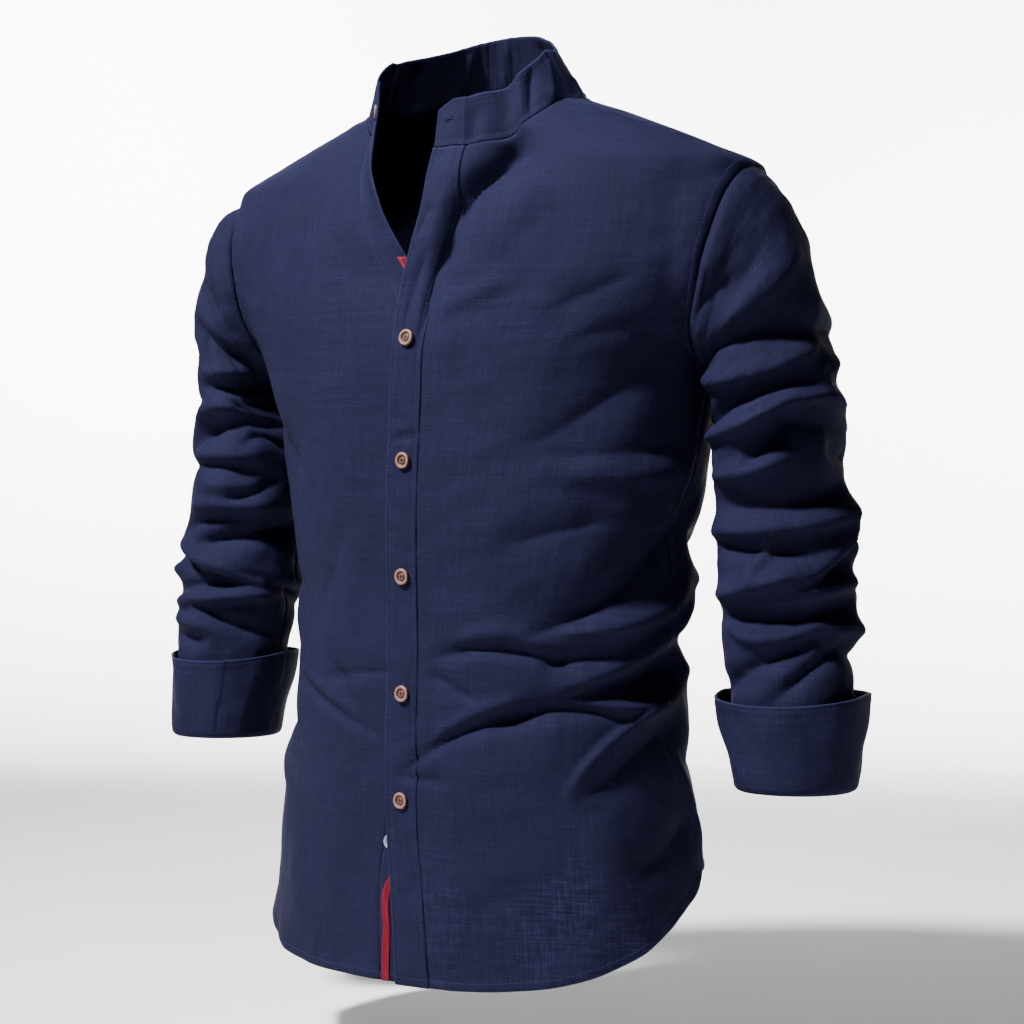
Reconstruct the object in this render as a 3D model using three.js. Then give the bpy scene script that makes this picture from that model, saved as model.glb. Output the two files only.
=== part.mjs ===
// A man's long-sleeved shirt with a band (mandarin) collar, filled out as if worn,
// with its neck open and its cuffs turned back.
// Millimetres. +Z up, the front faces -Y, and the wearer's left is +X.
// The origin lies midway between the two side neck points, where the shoulders carry the shirt.
import * as THREE from "three";

// Cloth
const WALL = 1.5; // one layer of cloth with its turnings
const BAND_WALL = 2.2; // two layers and interfacing, in the front bands and the collar
const CUFF_WALL = 2;
const TAPE_WALL = 0.8;
const SEAM_GAP = 0.3; // between two pieces that are sewn together
const SEAM_BEND = { least: 0.1, most: 0.7 }; // how alike two pieces face where their walls meet on one slanting face
const TURN = Math.PI / 180;

// Body: horizontal sections of the shirt, from the back of the neck down to the hem.
// half is half the width. front and back are the depths before and behind the shoulder line,
// side is the depth of the side seam, and shift and twist (degrees) give the stance.
const BODY = [
  { z: 34, half: 58, front: 30, back: 60, side: 14, shift: 0, twist: 0 },
  { z: 18, half: 70, front: 40, back: 72, side: 8, shift: 0, twist: 0 },
  { z: 0, half: 83, front: 50, back: 84, side: 3, shift: 0, twist: 0 },
  { z: -20, half: 128, front: 63, back: 94, side: 4, shift: 3, twist: 0 },
  { z: -46, half: 190, front: 77, back: 104, side: 8, shift: 5, twist: 0 },
  { z: -66, half: 228, front: 85, back: 110, side: 12, shift: 4, twist: 0 },
  { z: -108, half: 234, front: 98, back: 118, side: 14, shift: 4, twist: 0 },
  { z: -150, half: 226, front: 107, back: 122, side: 14, shift: 4, twist: -0.5 },
  { z: -222, half: 194, front: 116, back: 120, side: 14, shift: 2, twist: -1 },
  { z: -320, half: 179, front: 117, back: 112, side: 10, shift: 7, twist: -6.5 },
  { z: -420, half: 167, front: 114, back: 102, side: 6, shift: 7, twist: -8 },
  { z: -520, half: 177, front: 114, back: 106, side: 4, shift: 3, twist: -8 },
  { z: -620, half: 190.5, front: 114, back: 112, side: 2, shift: 2, twist: -8 },
  { z: -720, half: 197, front: 112, back: 116, side: 2, shift: 1, twist: -8 },
];
const SQUARE = 2.3; // exponent of the sections: 2 is an ellipse
const SIDE_SHARE = 0.9995; // of the half width, beyond which a place counts as the side

// Armhole, seen from the side: an oval from the shoulder point down to the underarm point.
const ARMHOLE = { y: 14, z: -144, halfDepth: 54, halfHeight: 78 };
const SHOULDER_SEAM_TURN = 8; // degrees forward of the shoulder point
const YOKE_SEAM_TURN = -56; // degrees behind it

// Neck seam in front, from the side neck point to the front band. x is the distance from
// the centre line, on the wearer's left and on the right, where the neck lies more open.
const NECK_FRONT = [
  { at: 0, leftX: 83, leftZ: 0, rightX: 83, rightZ: 0 },
  { at: 0.16, leftX: 87, leftZ: -6, rightX: 84, rightZ: -5 },
  { at: 0.34, leftX: 86, leftZ: -14, rightX: 84, rightZ: -11 },
  { at: 0.6, leftX: 73, leftZ: -28, rightX: 80, rightZ: -18 },
  { at: 0.82, leftX: 52, leftZ: -42, rightX: 75, rightZ: -25 },
  { at: 1, leftX: 27.5, leftZ: -50, rightX: 68, rightZ: -32 },
];
const SHOULDER_SEAM_AT = 0.22; // where the shoulder seam starts on it
const NECK_BACK_Z = 18;
const YOKE_SEAM_Z = -86;
const EDGE_FADE = 2.5; // exponent with which a seam's or hem's own line fades into its panel

// Front bands, from the neck seam to the hem: x of the seam with the front and x of the free
// edge, and how far each of the two stands out. The right band turns up beside the open neck.
const BAND_STEP = 0.8; // how far the left band stands out from its front
const LEFT_BAND = [
  { z: -50, seam: 27.5, free: -0.5, out: 5, tip: 5 },
  { z: -87, seam: 27, free: -1, out: 5, tip: 5 },
  { z: -133, seam: 20, free: -8, out: 3, tip: 3 },
  { z: -164, seam: 15, free: -12.5, out: 1.5, tip: 1.5 },
  { z: -196, seam: 14, free: -14, out: 1, tip: 1 },
  { z: -320, seam: 17.5, free: -12, out: 1, tip: 1 },
  { z: -560, seam: 23.5, free: -6.5, out: 1, tip: 1 },
  { z: -620, seam: 30.5, free: 0.5, out: 2, tip: 3 },
  { z: -720, seam: 39, free: 8.5, out: 3, tip: 5 },
];
const RIGHT_BAND = [
  { z: -32, seam: -68, free: -52, out: 0, tip: 17 },
  { z: -60, seam: -66, free: -49, out: 1, tip: 15 },
  { z: -95, seam: -58, free: -36, out: 1, tip: 9 },
  { z: -122, seam: -44, free: -19, out: 0, tip: 2.5 },
  { z: -137, seam: -34, free: -8, out: -2.5, tip: -2.5 },
  { z: -150, seam: -26, free: 1, out: -3.8, tip: -3.8 },
  { z: -172, seam: -14, free: 13, out: -3.4, tip: -3.4 },
  { z: -196, seam: -10, free: 17, out: -3.2, tip: -3.2 },
  { z: -540, seam: -6, free: 21, out: -3.2, tip: -3.2 },
  { z: -577, seam: -11, free: 16, out: -5, tip: -4.5 },
  { z: -610, seam: -15.5, free: 11.5, out: -4.2, tip: -4.2 },
  { z: -720, seam: -15.5, free: 11.5, out: -3.2, tip: -3.2 },
];
const BAND_EASE = 14; // degrees of the front over which its band's standing out fades

// Side seams: the angle round the body, which moves back towards the hem.
const SIDE_SEAM = [
  { z: -222, phi: 90 },
  { z: -490, phi: 90 },
  { z: -600, phi: 106 },
];

// Hem: a shirt tail, highest at the side seams.
const HEM = { side: -600, front: -687, back: -680, fullness: 2.4, backRise: 0.95 };

// Collar band: how far its top edge leans in and stands up, from the left end round to the right end.
const COLLAR = [
  { at: 0, lean: 7, up: 31 },
  { at: 0.02, lean: 8, up: 37 },
  { at: 0.06, lean: 9, up: 39 },
  { at: 0.2, lean: 18, up: 40 },
  { at: 0.3, lean: 25, up: 39 },
  { at: 0.4, lean: 20, up: 42 },
  { at: 0.5, lean: 12, up: 44 },
  { at: 0.68, lean: 22, up: 44 },
  { at: 0.85, lean: 13, up: 40 },
  { at: 0.94, lean: 6, up: 39 },
  { at: 0.98, lean: 4, up: 37 },
  { at: 1, lean: 4, up: 31 },
];
const COLLAR_AXIS_Y = -6; // the line that the collar leans towards

// Sleeves: the outer and the inner outline of each section, its depth from the
// shoulder line (y), and half its depth (deep).
const SLEEVE = [
  { at: 0, outX: 228, outZ: -66, inX: 194, inZ: -222, y: 14, deep: 54 },
  { at: 0.05, outX: 239, outZ: -76, inX: 200, inZ: -224, y: 14, deep: 55 },
  { at: 0.11, outX: 252, outZ: -93, inX: 203, inZ: -228, y: 14, deep: 56 },
  { at: 0.18, outX: 266, outZ: -120, inX: 202, inZ: -235, y: 14, deep: 56 },
  { at: 0.27, outX: 279, outZ: -160, inX: 199, inZ: -246, y: 15, deep: 56 },
  { at: 0.37, outX: 287, outZ: -208, inX: 199, inZ: -264, y: 17, deep: 56 },
  { at: 0.48, outX: 296, outZ: -262, inX: 199, inZ: -292, y: 20, deep: 55 },
  { at: 0.62, outX: 301, outZ: -336, inX: 201, inZ: -348, y: 22, deep: 54 },
  { at: 0.78, outX: 307, outZ: -412, inX: 205, inZ: -416, y: 20, deep: 50 },
  { at: 0.9, outX: 307, outZ: -464, inX: 214, inZ: -464, y: 14, deep: 45 },
  { at: 1, outX: 304, outZ: -520, inX: 226, inZ: -520, y: 11, deep: 41 },
];
// How far each section of the right sleeve lies from the left sleeve's mirror image,
// and how far its outer side alone stands out beyond that.
const RIGHT_SLEEVE = [
  { at: 0, x: 0, y: 0, z: 0, outer: 0 },
  { at: 0.04, x: 0, y: 0, z: 0, outer: 13 },
  { at: 0.1, x: 3, y: 0, z: 0, outer: 7 },
  { at: 0.2, x: 3, y: 0, z: 0, outer: 0 },
  { at: 0.42, x: -10, y: 0, z: 2, outer: 0 },
  { at: 0.6, x: -8, y: 2, z: 6, outer: 0 },
  { at: 0.8, x: -2, y: 3, z: 12, outer: 0 },
  { at: 1, x: -4, y: 3, z: 16, outer: 0 },
];
const SLEEVE_SQUARE = 2.1;
const ARMHOLE_EASE = 0.3; // share of the sleeve over which the armhole's own curve fades out

// Cuffs, turned back: a profile from the seam inside, round the fold at the bottom,
// and up to the free edge. out is measured from the sleeve's end, up from the fold.
const CUFF = [
  { out: 0, up: 14 },
  { out: 0.4, up: 5 },
  { out: 2.6, up: 0 },
  { out: 5, up: 3 },
  { out: 7, up: 26 },
  { out: 10.5, up: 50 },
  { out: 12, up: 71 },
];
const CUFF_DIP = 7; // how much lower the free edge lies in front
const CUFF_LEAN = 5; // how far the free edge stands off towards the body, and behind
const CUFF_FLARE = { left: 5.5, right: 1 }; // how much wider the free edge opens on either side

// Buttons, tape and label
const BUTTON = { radius: 6.4, wall: 2.6, rim: 1.6, dish: 0.8, round: 0.7, sides: 16 };
// Buttons down the left band: along is measured from the band's seam (0) to its free edge (1).
const FRONT_BUTTONS = [
  { z: -196, along: 0.5 },
  { z: -289, along: 0.43 },
  { z: -377, along: 0.41 },
  { z: -466, along: 0.43 },
  { z: -547, along: 0.46 },
];
const COLLAR_BUTTON = { at: 0.975, up: 0.45, radius: 5.5 };
const HEM_BUTTON = { z: -577, x: -8.5, radius: 5.5, wall: 1.5 };
const BUTTON_TURN = Math.PI / BUTTON.sides; // a flat of the rim faces sideways
const BAND_STEPS = { along: 0.2, z: 4 }; // by which a band's direction is felt under a button
const COLLAR_STEPS = { at: 0.01, up: 0.1 };
// Tape along the right band: along is its middle, from the band's seam (0) to its free edge (1).
const TAPE_WIDTH = 7;
const TAPE_FROM = 4.3; // row of the right band where it starts
const TAPE = [
  { z: -120, along: 0.86 },
  { z: -150, along: 0.82 },
  { z: -200, along: 0.4 },
  { z: -600, along: 0.17 },
  { z: -720, along: 0.17 },
];
const LABEL = { halfTurn: 34, top: 2, drop: 24, wall: 0.8, columns: 6, rows: 2 }; // degrees round the body, and heights below the neck seam

// Folds of the body. phi is the angle round the body in degrees, from the centre front
// towards the wearer's left. out is how far the cloth stands out, or lies in below 0.
const BODY_FOLDS = [
  { phi0: 86, z0: -330, phi1: 34, z1: -412, width: 15, out: -8, bow: -6 },
  { phi0: 86, z0: -384, phi1: 44, z1: -440, width: 12, out: 5, bow: 8 },
  { phi0: 36, z0: -270, phi1: 82, z1: -214, width: 22, out: -6, bow: 0 },
  { phi0: 5, z0: -512, phi1: 46, z1: -472, width: 12, out: -8, bow: 8 },
  { phi0: 44, z0: -528, phi1: 80, z1: -474, width: 12, out: -6, bow: 0 },
  { phi0: 12, z0: -434, phi1: 50, z1: -437, width: 10, out: -4, bow: -3 },
  { phi0: 58, z0: -460, phi1: 92, z1: -448, width: 15, out: -8, bow: 0 },
  { phi0: -28, z0: -444, phi1: -9, z1: -488, width: 10, out: -4, bow: 0 },
  { phi0: -86, z0: -340, phi1: -40, z1: -410, width: 16, out: -6, bow: 5 },
  { phi0: -80, z0: -222, phi1: -40, z1: -290, width: 22, out: -5, bow: 0 },
  { phi0: -84, z0: -470, phi1: -36, z1: -520, width: 14, out: -5, bow: 0 },
  { phi0: 12, z0: -72, phi1: 7, z1: -178, width: 13, out: -6, bow: 0 },
  { phi0: 104, z0: -350, phi1: 140, z1: -400, width: 16, out: -6, bow: 0 },
  { phi0: 256, z0: -350, phi1: 222, z1: -410, width: 16, out: -6, bow: 0 },
  { phi0: 110, z0: -430, phi1: 168, z1: -452, width: 14, out: -5, bow: 6 },
  { phi0: 250, z0: -450, phi1: 196, z1: -476, width: 14, out: -5, bow: -6 },
  { phi0: 112, z0: -520, phi1: 150, z1: -500, width: 14, out: -4, bow: 0 },
  { phi0: 128, z0: -140, phi1: 140, z1: -240, width: 20, out: -6, bow: 0 },
  { phi0: 232, z0: -140, phi1: 220, z1: -240, width: 20, out: -6, bow: 0 },
];

// Folds of the sleeves. turn is the angle round the sleeve in degrees: 0 outside, 90 front,
// 180 inside and 270 back. z is the height before the sleeve is bent or raised.
const LEFT_FOLDS = [
  { turn0: 131, z0: -222, turn1: 29, z1: -142, width: 11, out: 6, bow: 4 },
  { turn0: 118, z0: -236, turn1: 36, z1: -186, width: 11, out: -6, bow: 4 },
  { turn0: 124, z0: -262, turn1: 36, z1: -226, width: 10, out: -6, bow: 4 },
  { turn0: 88, z0: -292, turn1: 38, z1: -250, width: 10, out: -6, bow: 0 },
  { turn0: 62, z0: -262, turn1: -6, z1: -246, width: 10, out: 5, bow: -4 },
  { turn0: 108, z0: -332, turn1: -10, z1: -312, width: 13, out: -8, bow: 6 },
  { turn0: -14, z0: -332, turn1: 64, z1: -382, width: 10, out: 6, bow: 5 },
  { turn0: 134, z0: -352, turn1: 42, z1: -362, width: 10, out: -5, bow: 0 },
  { turn0: 130, z0: -388, turn1: 54, z1: -370, width: 10, out: 5, bow: 0 },
  { turn0: 132, z0: -404, turn1: 4, z1: -398, width: 13, out: -8, bow: -8 },
  { turn0: 104, z0: -430, turn1: -24, z1: -414, width: 10, out: 5, bow: 0 },
  { turn0: 118, z0: -452, turn1: 40, z1: -426, width: 10, out: -5, bow: 0 },
  { turn0: 250, z0: -200, turn1: 330, z1: -150, width: 13, out: -6, bow: 0 },
  { turn0: 236, z0: -262, turn1: 330, z1: -232, width: 12, out: -6, bow: 0 },
  { turn0: 220, z0: -318, turn1: 320, z1: -300, width: 12, out: -7, bow: 5 },
  { turn0: 230, z0: -366, turn1: 330, z1: -372, width: 12, out: -6, bow: 0 },
  { turn0: 220, z0: -416, turn1: 320, z1: -404, width: 12, out: -6, bow: 0 },
];
const RIGHT_FOLDS = [
  { turn0: 64, z0: -174, turn1: 150, z1: -218, width: 11, out: -6, bow: -6 },
  { turn0: 76, z0: -228, turn1: 152, z1: -230, width: 9, out: -6, bow: 0 },
  { turn0: 58, z0: -272, turn1: 156, z1: -262, width: 13, out: -7, bow: 6 },
  { turn0: 60, z0: -296, turn1: 128, z1: -300, width: 9, out: 4, bow: 0 },
  { turn0: 104, z0: -330, turn1: 158, z1: -308, width: 9, out: -5, bow: 0 },
  { turn0: 40, z0: -366, turn1: 190, z1: -354, width: 11, out: -8, bow: 4 },
  { turn0: 46, z0: -362, turn1: 200, z1: -400, width: 10, out: 6, bow: -12 },
  { turn0: 46, z0: -408, turn1: 112, z1: -402, width: 9, out: -5, bow: 0 },
  { turn0: 46, z0: -420, turn1: 164, z1: -412, width: 9, out: 5, bow: 0 },
  { turn0: 70, z0: -424, turn1: 148, z1: -448, width: 10, out: -6, bow: 0 },
  { turn0: 250, z0: -200, turn1: 330, z1: -156, width: 13, out: -6, bow: 0 },
  { turn0: 236, z0: -258, turn1: 330, z1: -240, width: 12, out: -6, bow: 0 },
  { turn0: 220, z0: -322, turn1: 330, z1: -316, width: 12, out: -7, bow: 0 },
  { turn0: 230, z0: -372, turn1: 330, z1: -384, width: 12, out: -6, bow: 0 },
  { turn0: 220, z0: -424, turn1: 320, z1: -430, width: 12, out: -6, bow: 0 },
];
const BODY_MM_PER_DEGREE = 3;
const SLEEVE_MM_PER_DEGREE = 0.95;
const FOLD_END = 0.25; // share of a fold's length over which it fades, on either side of its end
const SLEEVE_FADE = { top: 0.08, bottom: 0.1 }; // share of the sleeve over which its folds fade at its seams
const STEP = { turn: 0.5, z: 0.5, share: 0.01 }; // by which a surface's direction is felt

// How finely the cloth is divided
const ROWS = { neck: 6, armFront: 11, armBack: 8, yoke: 4, below: 23, band: 28, collar: 3, sleeve: 28 };
const COLUMNS = { front: 10, back: 20, band: 2 };

// Reads one column of a table, on a smooth curve that never overshoots its rows.
function read(table, key, column, at) {
  const rising = table[1][key] > table[0][key];
  let i = 0;
  while (i < table.length - 2 && (rising ? at > table[i + 1][key] : at < table[i + 1][key])) i++;
  const gap = (k) => table[k + 1][key] - table[k][key];
  const slope = (k) => (table[k + 1][column] - table[k][column]) / gap(k);
  const tangent = (k) => {
    if (k === 0) return slope(0);
    if (k === table.length - 1) return slope(k - 1);
    const before = slope(k - 1);
    const after = slope(k);
    return before * after <= 0 ? 0 : (2 * before * after) / (before + after);
  };
  const h = gap(i);
  const t = Math.min(1, Math.max(0, (at - table[i][key]) / h));
  const rise = t * t * (3 - 2 * t);
  return (
    table[i][column] * (1 - rise) +
    table[i + 1][column] * rise +
    t * (1 - t) * h * ((1 - t) * tangent(i) - t * tangent(i + 1))
  );
}

const mix = (a, b, t) => a + (b - a) * t;
const clamp = (t) => Math.min(1, Math.max(0, t));
const ease = (t) => clamp(t) ** 2 * (3 - 2 * clamp(t));
const signedPower = (v, p) => Math.sign(v) * Math.abs(v) ** p;

// How far one fold moves the cloth at a place (across, z), with across in millimetres
// from the fold's first end. span is its second end, as seen from the first.
function foldOut(fold, across, down, span) {
  const length2 = span.across ** 2 + span.down ** 2;
  const t = (across * span.across + down * span.down) / length2;
  if (t < -FOLD_END || t > 1 + FOLD_END) return 0;
  const off = (across * span.down - down * span.across) / Math.sqrt(length2) + fold.bow * (1 - (2 * t - 1) ** 2);
  const along = ease((t + FOLD_END) / (2 * FOLD_END)) * ease((1 + FOLD_END - t) / (2 * FOLD_END));
  return fold.out * along * Math.exp(-((off / fold.width) ** 2));
}

const wrap = (degrees) => ((((degrees + 180) % 360) + 360) % 360) - 180;

function bodyFold(phi, z) {
  let out = 0;
  for (const fold of BODY_FOLDS) {
    const span = { across: (fold.phi1 - fold.phi0) * BODY_MM_PER_DEGREE, down: fold.z1 - fold.z0 };
    const middle = (fold.phi0 + fold.phi1) / 2;
    const across = (wrap(phi - middle) + middle - fold.phi0) * BODY_MM_PER_DEGREE;
    out += foldOut(fold, across, z - fold.z0, span);
  }
  return out;
}

function sleeveFold(folds, turn, z) {
  let out = 0;
  for (const fold of folds) {
    const span = { across: (fold.turn1 - fold.turn0) * SLEEVE_MM_PER_DEGREE, down: fold.z1 - fold.z0 };
    const middle = (fold.turn0 + fold.turn1) / 2;
    const across = (wrap(turn - middle) + middle - fold.turn0) * SLEEVE_MM_PER_DEGREE;
    out += foldOut(fold, across, z - fold.z0, span);
  }
  return out;
}

// Outward direction of a surface, by small steps down it and along it.
function outward(surface, along, down, stepAlong, stepDown) {
  const a = surface(along + stepAlong, down).sub(surface(along - stepAlong, down));
  const d = surface(along, down + stepDown).sub(surface(along, down - stepDown));
  return d.cross(a).normalize();
}

// Body surface without folds.
function bodyBase(phi, z) {
  const s = {};
  for (const name of ["half", "front", "back", "side", "shift", "twist"]) s[name] = read(BODY, "z", name, z);
  const x = s.half * signedPower(Math.sin(phi * TURN), 2 / SQUARE);
  const c = Math.cos(phi * TURN);
  const y = s.side - (c > 0 ? s.front + s.side : s.back - s.side) * signedPower(c, 2 / SQUARE);
  const turn = s.twist * TURN;
  return new THREE.Vector3(
    s.shift + x * Math.cos(turn) - y * Math.sin(turn),
    x * Math.sin(turn) + y * Math.cos(turn),
    z,
  );
}

// Body surface with folds, lifted off by a distance.
function body(phi, z, lift = 0) {
  const out = bodyFold(phi, z) + lift;
  const p = bodyBase(phi, z);
  return out === 0 ? p : p.addScaledVector(outward(bodyBase, phi, z, STEP.turn, -STEP.z), out);
}

// Angle round the body of a point on the front, at a distance x from the centre line.
function phiOfX(x, z) {
  const share = Math.min(SIDE_SHARE, Math.abs(x) / read(BODY, "z", "half", z));
  return (Math.sign(x) * Math.asin(share ** (SQUARE / 2))) / TURN;
}

// Angle round the body of a point at a depth y, on the wearer's left.
function phiOfY(y, z) {
  const side = read(BODY, "z", "side", z);
  const depth = y < side ? read(BODY, "z", "front", z) + side : read(BODY, "z", "back", z) - side;
  const fromFront = Math.acos(Math.min(1, Math.abs(y - side) / depth) ** (SQUARE / 2)) / TURN;
  return y < side ? fromFront : 180 - fromFront;
}

// Place on the armhole at a turn round it: 0 at the shoulder point, 90 in front.
function armhole(turn, sign) {
  const z = ARMHOLE.z + ARMHOLE.halfHeight * Math.cos(turn * TURN);
  const y = ARMHOLE.y - ARMHOLE.halfDepth * Math.sin(turn * TURN);
  return { phi: sign * phiOfY(y, z), z };
}

// Place on the neck seam in front.
function neckFront(at, sign) {
  const side = sign > 0 ? "left" : "right";
  const z = read(NECK_FRONT, "at", side + "Z", at);
  return { phi: sign * phiOfX(read(NECK_FRONT, "at", side + "X", at), z), z };
}

const sidePhi = (z) => read(SIDE_SEAM, "z", "phi", z);

function hemZ(phi) {
  const a = Math.abs(wrap(phi));
  const corner = SIDE_SEAM.at(-1).phi;
  if (a < corner) return mix(HEM.front, HEM.side, (a / corner) ** HEM.fullness);
  return mix(HEM.side, HEM.back, ease(((a - corner) / (180 - corner)) * HEM.backRise));
}

const meet = (a, b, t) => ({ phi: mix(a.phi, b.phi, t), z: mix(a.z, b.z, t) });

// A grid of cells. Rows run down the cloth, and columns run anticlockwise as seen from above.
function grid(rows, columns, place) {
  const cells = [];
  for (let i = 0; i <= rows; i++) {
    const line = [];
    for (let j = 0; j <= columns; j++) line.push({ p: place(i, j) });
    cells.push(line);
  }
  return cells;
}

// Gives each cell its outward direction.
function direct(cells, closed = false) {
  const last = cells.length - 1;
  const end = cells[0].length - 1;
  cells.forEach((line, i) => {
    line.forEach((cell, j) => {
      const before = closed ? line[(j + end) % (end + 1)] : line[Math.max(0, j - 1)];
      const after = closed ? line[(j + 1) % (end + 1)] : line[Math.min(end, j + 1)];
      const down = cells[Math.min(last, i + 1)][j].p.clone().sub(cells[Math.max(0, i - 1)][j].p);
      cell.n = down.cross(after.p.clone().sub(before.p)).normalize();
    });
  });
  return cells;
}

// Pieces wait here until the seams between them are settled.
const pieces = [];
function piece(name, material, cells, wall, closed = false) {
  pieces.push({ name, material, cells: direct(cells, closed), wall, closed });
  return cells;
}

// Where pieces are sewn together, their walls meet on one slanting face.
function settleSeams() {
  const alike = (facing) => clamp((facing - SEAM_BEND.least) / (SEAM_BEND.most - SEAM_BEND.least));
  const shared = new Map();
  for (const made of pieces) {
    for (const cell of made.cells.flat()) {
      const key = [cell.p.x, cell.p.y, cell.p.z].map((v) => Math.round(v * 1000)).join();
      if (!shared.has(key)) shared.set(key, []);
      shared.get(key).push(cell);
    }
  }
  for (const cells of shared.values()) {
    const settled = cells.map((cell) => {
      const sum = new THREE.Vector3();
      for (const other of cells) sum.addScaledVector(other.n, alike(other.n.dot(cell.n)));
      sum.normalize();
      return sum.divideScalar(sum.dot(cell.n));
    });
    cells.forEach((cell, k) => (cell.n = settled[k]));
  }
}

// Draws the open edges of a grid in by half the seam gap.
function drawIn({ cells, closed }) {
  const last = cells.length - 1;
  const end = cells[0].length - 1;
  const pulls = new Map();
  const pull = (cell, next) => {
    const step = next.p.clone().sub(cell.p).setLength(SEAM_GAP / 2);
    pulls.set(cell, (pulls.get(cell) ?? new THREE.Vector3()).add(step));
  };
  for (let j = 0; j <= end; j++) {
    pull(cells[0][j], cells[1][j]);
    pull(cells[last][j], cells[last - 1][j]);
  }
  if (!closed) {
    for (let i = 0; i <= last; i++) {
      pull(cells[i][0], cells[i][1]);
      pull(cells[i][end], cells[i][end - 1]);
    }
  }
  for (const [cell, step] of pulls) cell.p = cell.p.clone().add(step);
}

function meshOf(name, material, positions, faces) {
  const geometry = new THREE.BufferGeometry();
  geometry.setAttribute("position", new THREE.Float32BufferAttribute(positions, 3));
  geometry.setIndex(faces);
  geometry.computeVertexNormals();
  const mesh = new THREE.Mesh(geometry, material);
  mesh.name = name;
  return mesh;
}

// A closed wall of cloth: the grid outside, and the same grid moved in by the wall inside.
function wallMesh({ name, material, cells, wall, closed }) {
  const rows = cells.length;
  const across = cells[0].length;
  const positions = [];
  for (const depth of [0, -wall]) {
    for (const cell of cells.flat()) positions.push(...cell.p.clone().addScaledVector(cell.n, depth));
  }
  const outer = (i, j) => i * across + (j % across);
  const inner = (i, j) => rows * across + outer(i, j);
  const faces = [];
  const quad = (a, b, c, d) => faces.push(a, b, c, a, c, d);
  const spans = closed ? across : across - 1;
  for (let i = 0; i < rows - 1; i++) {
    for (let j = 0; j < spans; j++) {
      quad(outer(i, j), outer(i + 1, j), outer(i + 1, j + 1), outer(i, j + 1));
      quad(inner(i, j), inner(i, j + 1), inner(i + 1, j + 1), inner(i + 1, j));
    }
  }
  for (let j = 0; j < spans; j++) {
    quad(outer(0, j), outer(0, j + 1), inner(0, j + 1), inner(0, j));
    quad(outer(rows - 1, j + 1), outer(rows - 1, j), inner(rows - 1, j), inner(rows - 1, j + 1));
  }
  for (let i = 0; i < rows - 1 && !closed; i++) {
    quad(outer(i + 1, 0), outer(i, 0), inner(i, 0), inner(i + 1, 0));
    quad(outer(i, spans), outer(i + 1, spans), inner(i + 1, spans), inner(i, spans));
  }
  return meshOf(name, material, positions, faces);
}

// Materials
const finish = (color, roughness) => new THREE.MeshStandardMaterial({ color, roughness, metalness: 0 });
const cloth = finish(0x262c50, 0.85);
const tapeRed = finish(0xc2283f, 0.6);
const wood = finish(0xb98a72, 0.55);
const pale = finish(0x9a97b5, 0.4);
const labelGrey = finish(0x8b8d94, 0.8);

// Front bands and fronts
const bandTop = (sign) => neckFront(1, sign).z;
function bandZ(band, t, sign) {
  const bottom = hemZ(phiOfX(read(band, "z", "seam", HEM.front), HEM.front));
  return mix(bandTop(sign), bottom, t);
}

// Place on a band: t runs from its seam (0) to its free edge (1).
function bandSurface(band, t, z) {
  const x = mix(read(band, "z", "seam", z), read(band, "z", "free", z), t);
  return body(phiOfX(x, z), z, mix(read(band, "z", "out", z), read(band, "z", "tip", z), t));
}

function bandPiece(name, sign, band) {
  return piece(
    name,
    cloth,
    grid(ROWS.band, COLUMNS.band, (i, j) => {
      const t = sign > 0 ? 1 - j / COLUMNS.band : j / COLUMNS.band;
      return bandSurface(band, t, bandZ(band, i / ROWS.band, sign));
    }),
    BAND_WALL,
  );
}

function frontSurface(phi, z, sign, band) {
  const away = (sign * phi - sign * phiOfX(read(band, "z", "seam", z), z)) / BAND_EASE;
  const out = read(band, "z", "out", z) - (sign > 0 ? BAND_STEP : 0);
  return body(phi, z, out * (1 - ease(away)));
}

function frontPiece(name, sign, band) {
  const rows = ROWS.neck + ROWS.band;
  const innerPlace = (i) => {
    if (i <= ROWS.neck) return neckFront(mix(SHOULDER_SEAM_AT, 1, i / ROWS.neck), sign);
    const z = bandZ(band, (i - ROWS.neck) / ROWS.band, sign);
    return { phi: phiOfX(read(band, "z", "seam", z), z), z };
  };
  const outerPlace = (i) => {
    if (i <= ROWS.armFront) return armhole(mix(SHOULDER_SEAM_TURN, 180, i / ROWS.armFront), sign);
    const z = mix(ARMHOLE.z - ARMHOLE.halfHeight, HEM.side, (i - ROWS.armFront) / ROWS.below);
    return { phi: sign * sidePhi(z), z };
  };
  const lowest = (t) => meet(innerPlace(rows), outerPlace(rows), t);
  return piece(
    name,
    cloth,
    grid(rows, COLUMNS.front, (i, j) => {
      const t = sign > 0 ? j / COLUMNS.front : 1 - j / COLUMNS.front;
      const place = meet(innerPlace(i), outerPlace(i), t);
      const low = lowest(t);
      const z = place.z + (hemZ(low.phi) - low.z) * (i / rows) ** EDGE_FADE;
      return frontSurface(place.phi, z, sign, band);
    }),
    WALL,
  );
}

const leftBand = bandPiece("band_left", 1, LEFT_BAND);
const rightBand = bandPiece("band_right", -1, RIGHT_BAND);
const leftFront = frontPiece("front_left", 1, LEFT_BAND);
const rightFront = frontPiece("front_right", -1, RIGHT_BAND);

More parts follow.
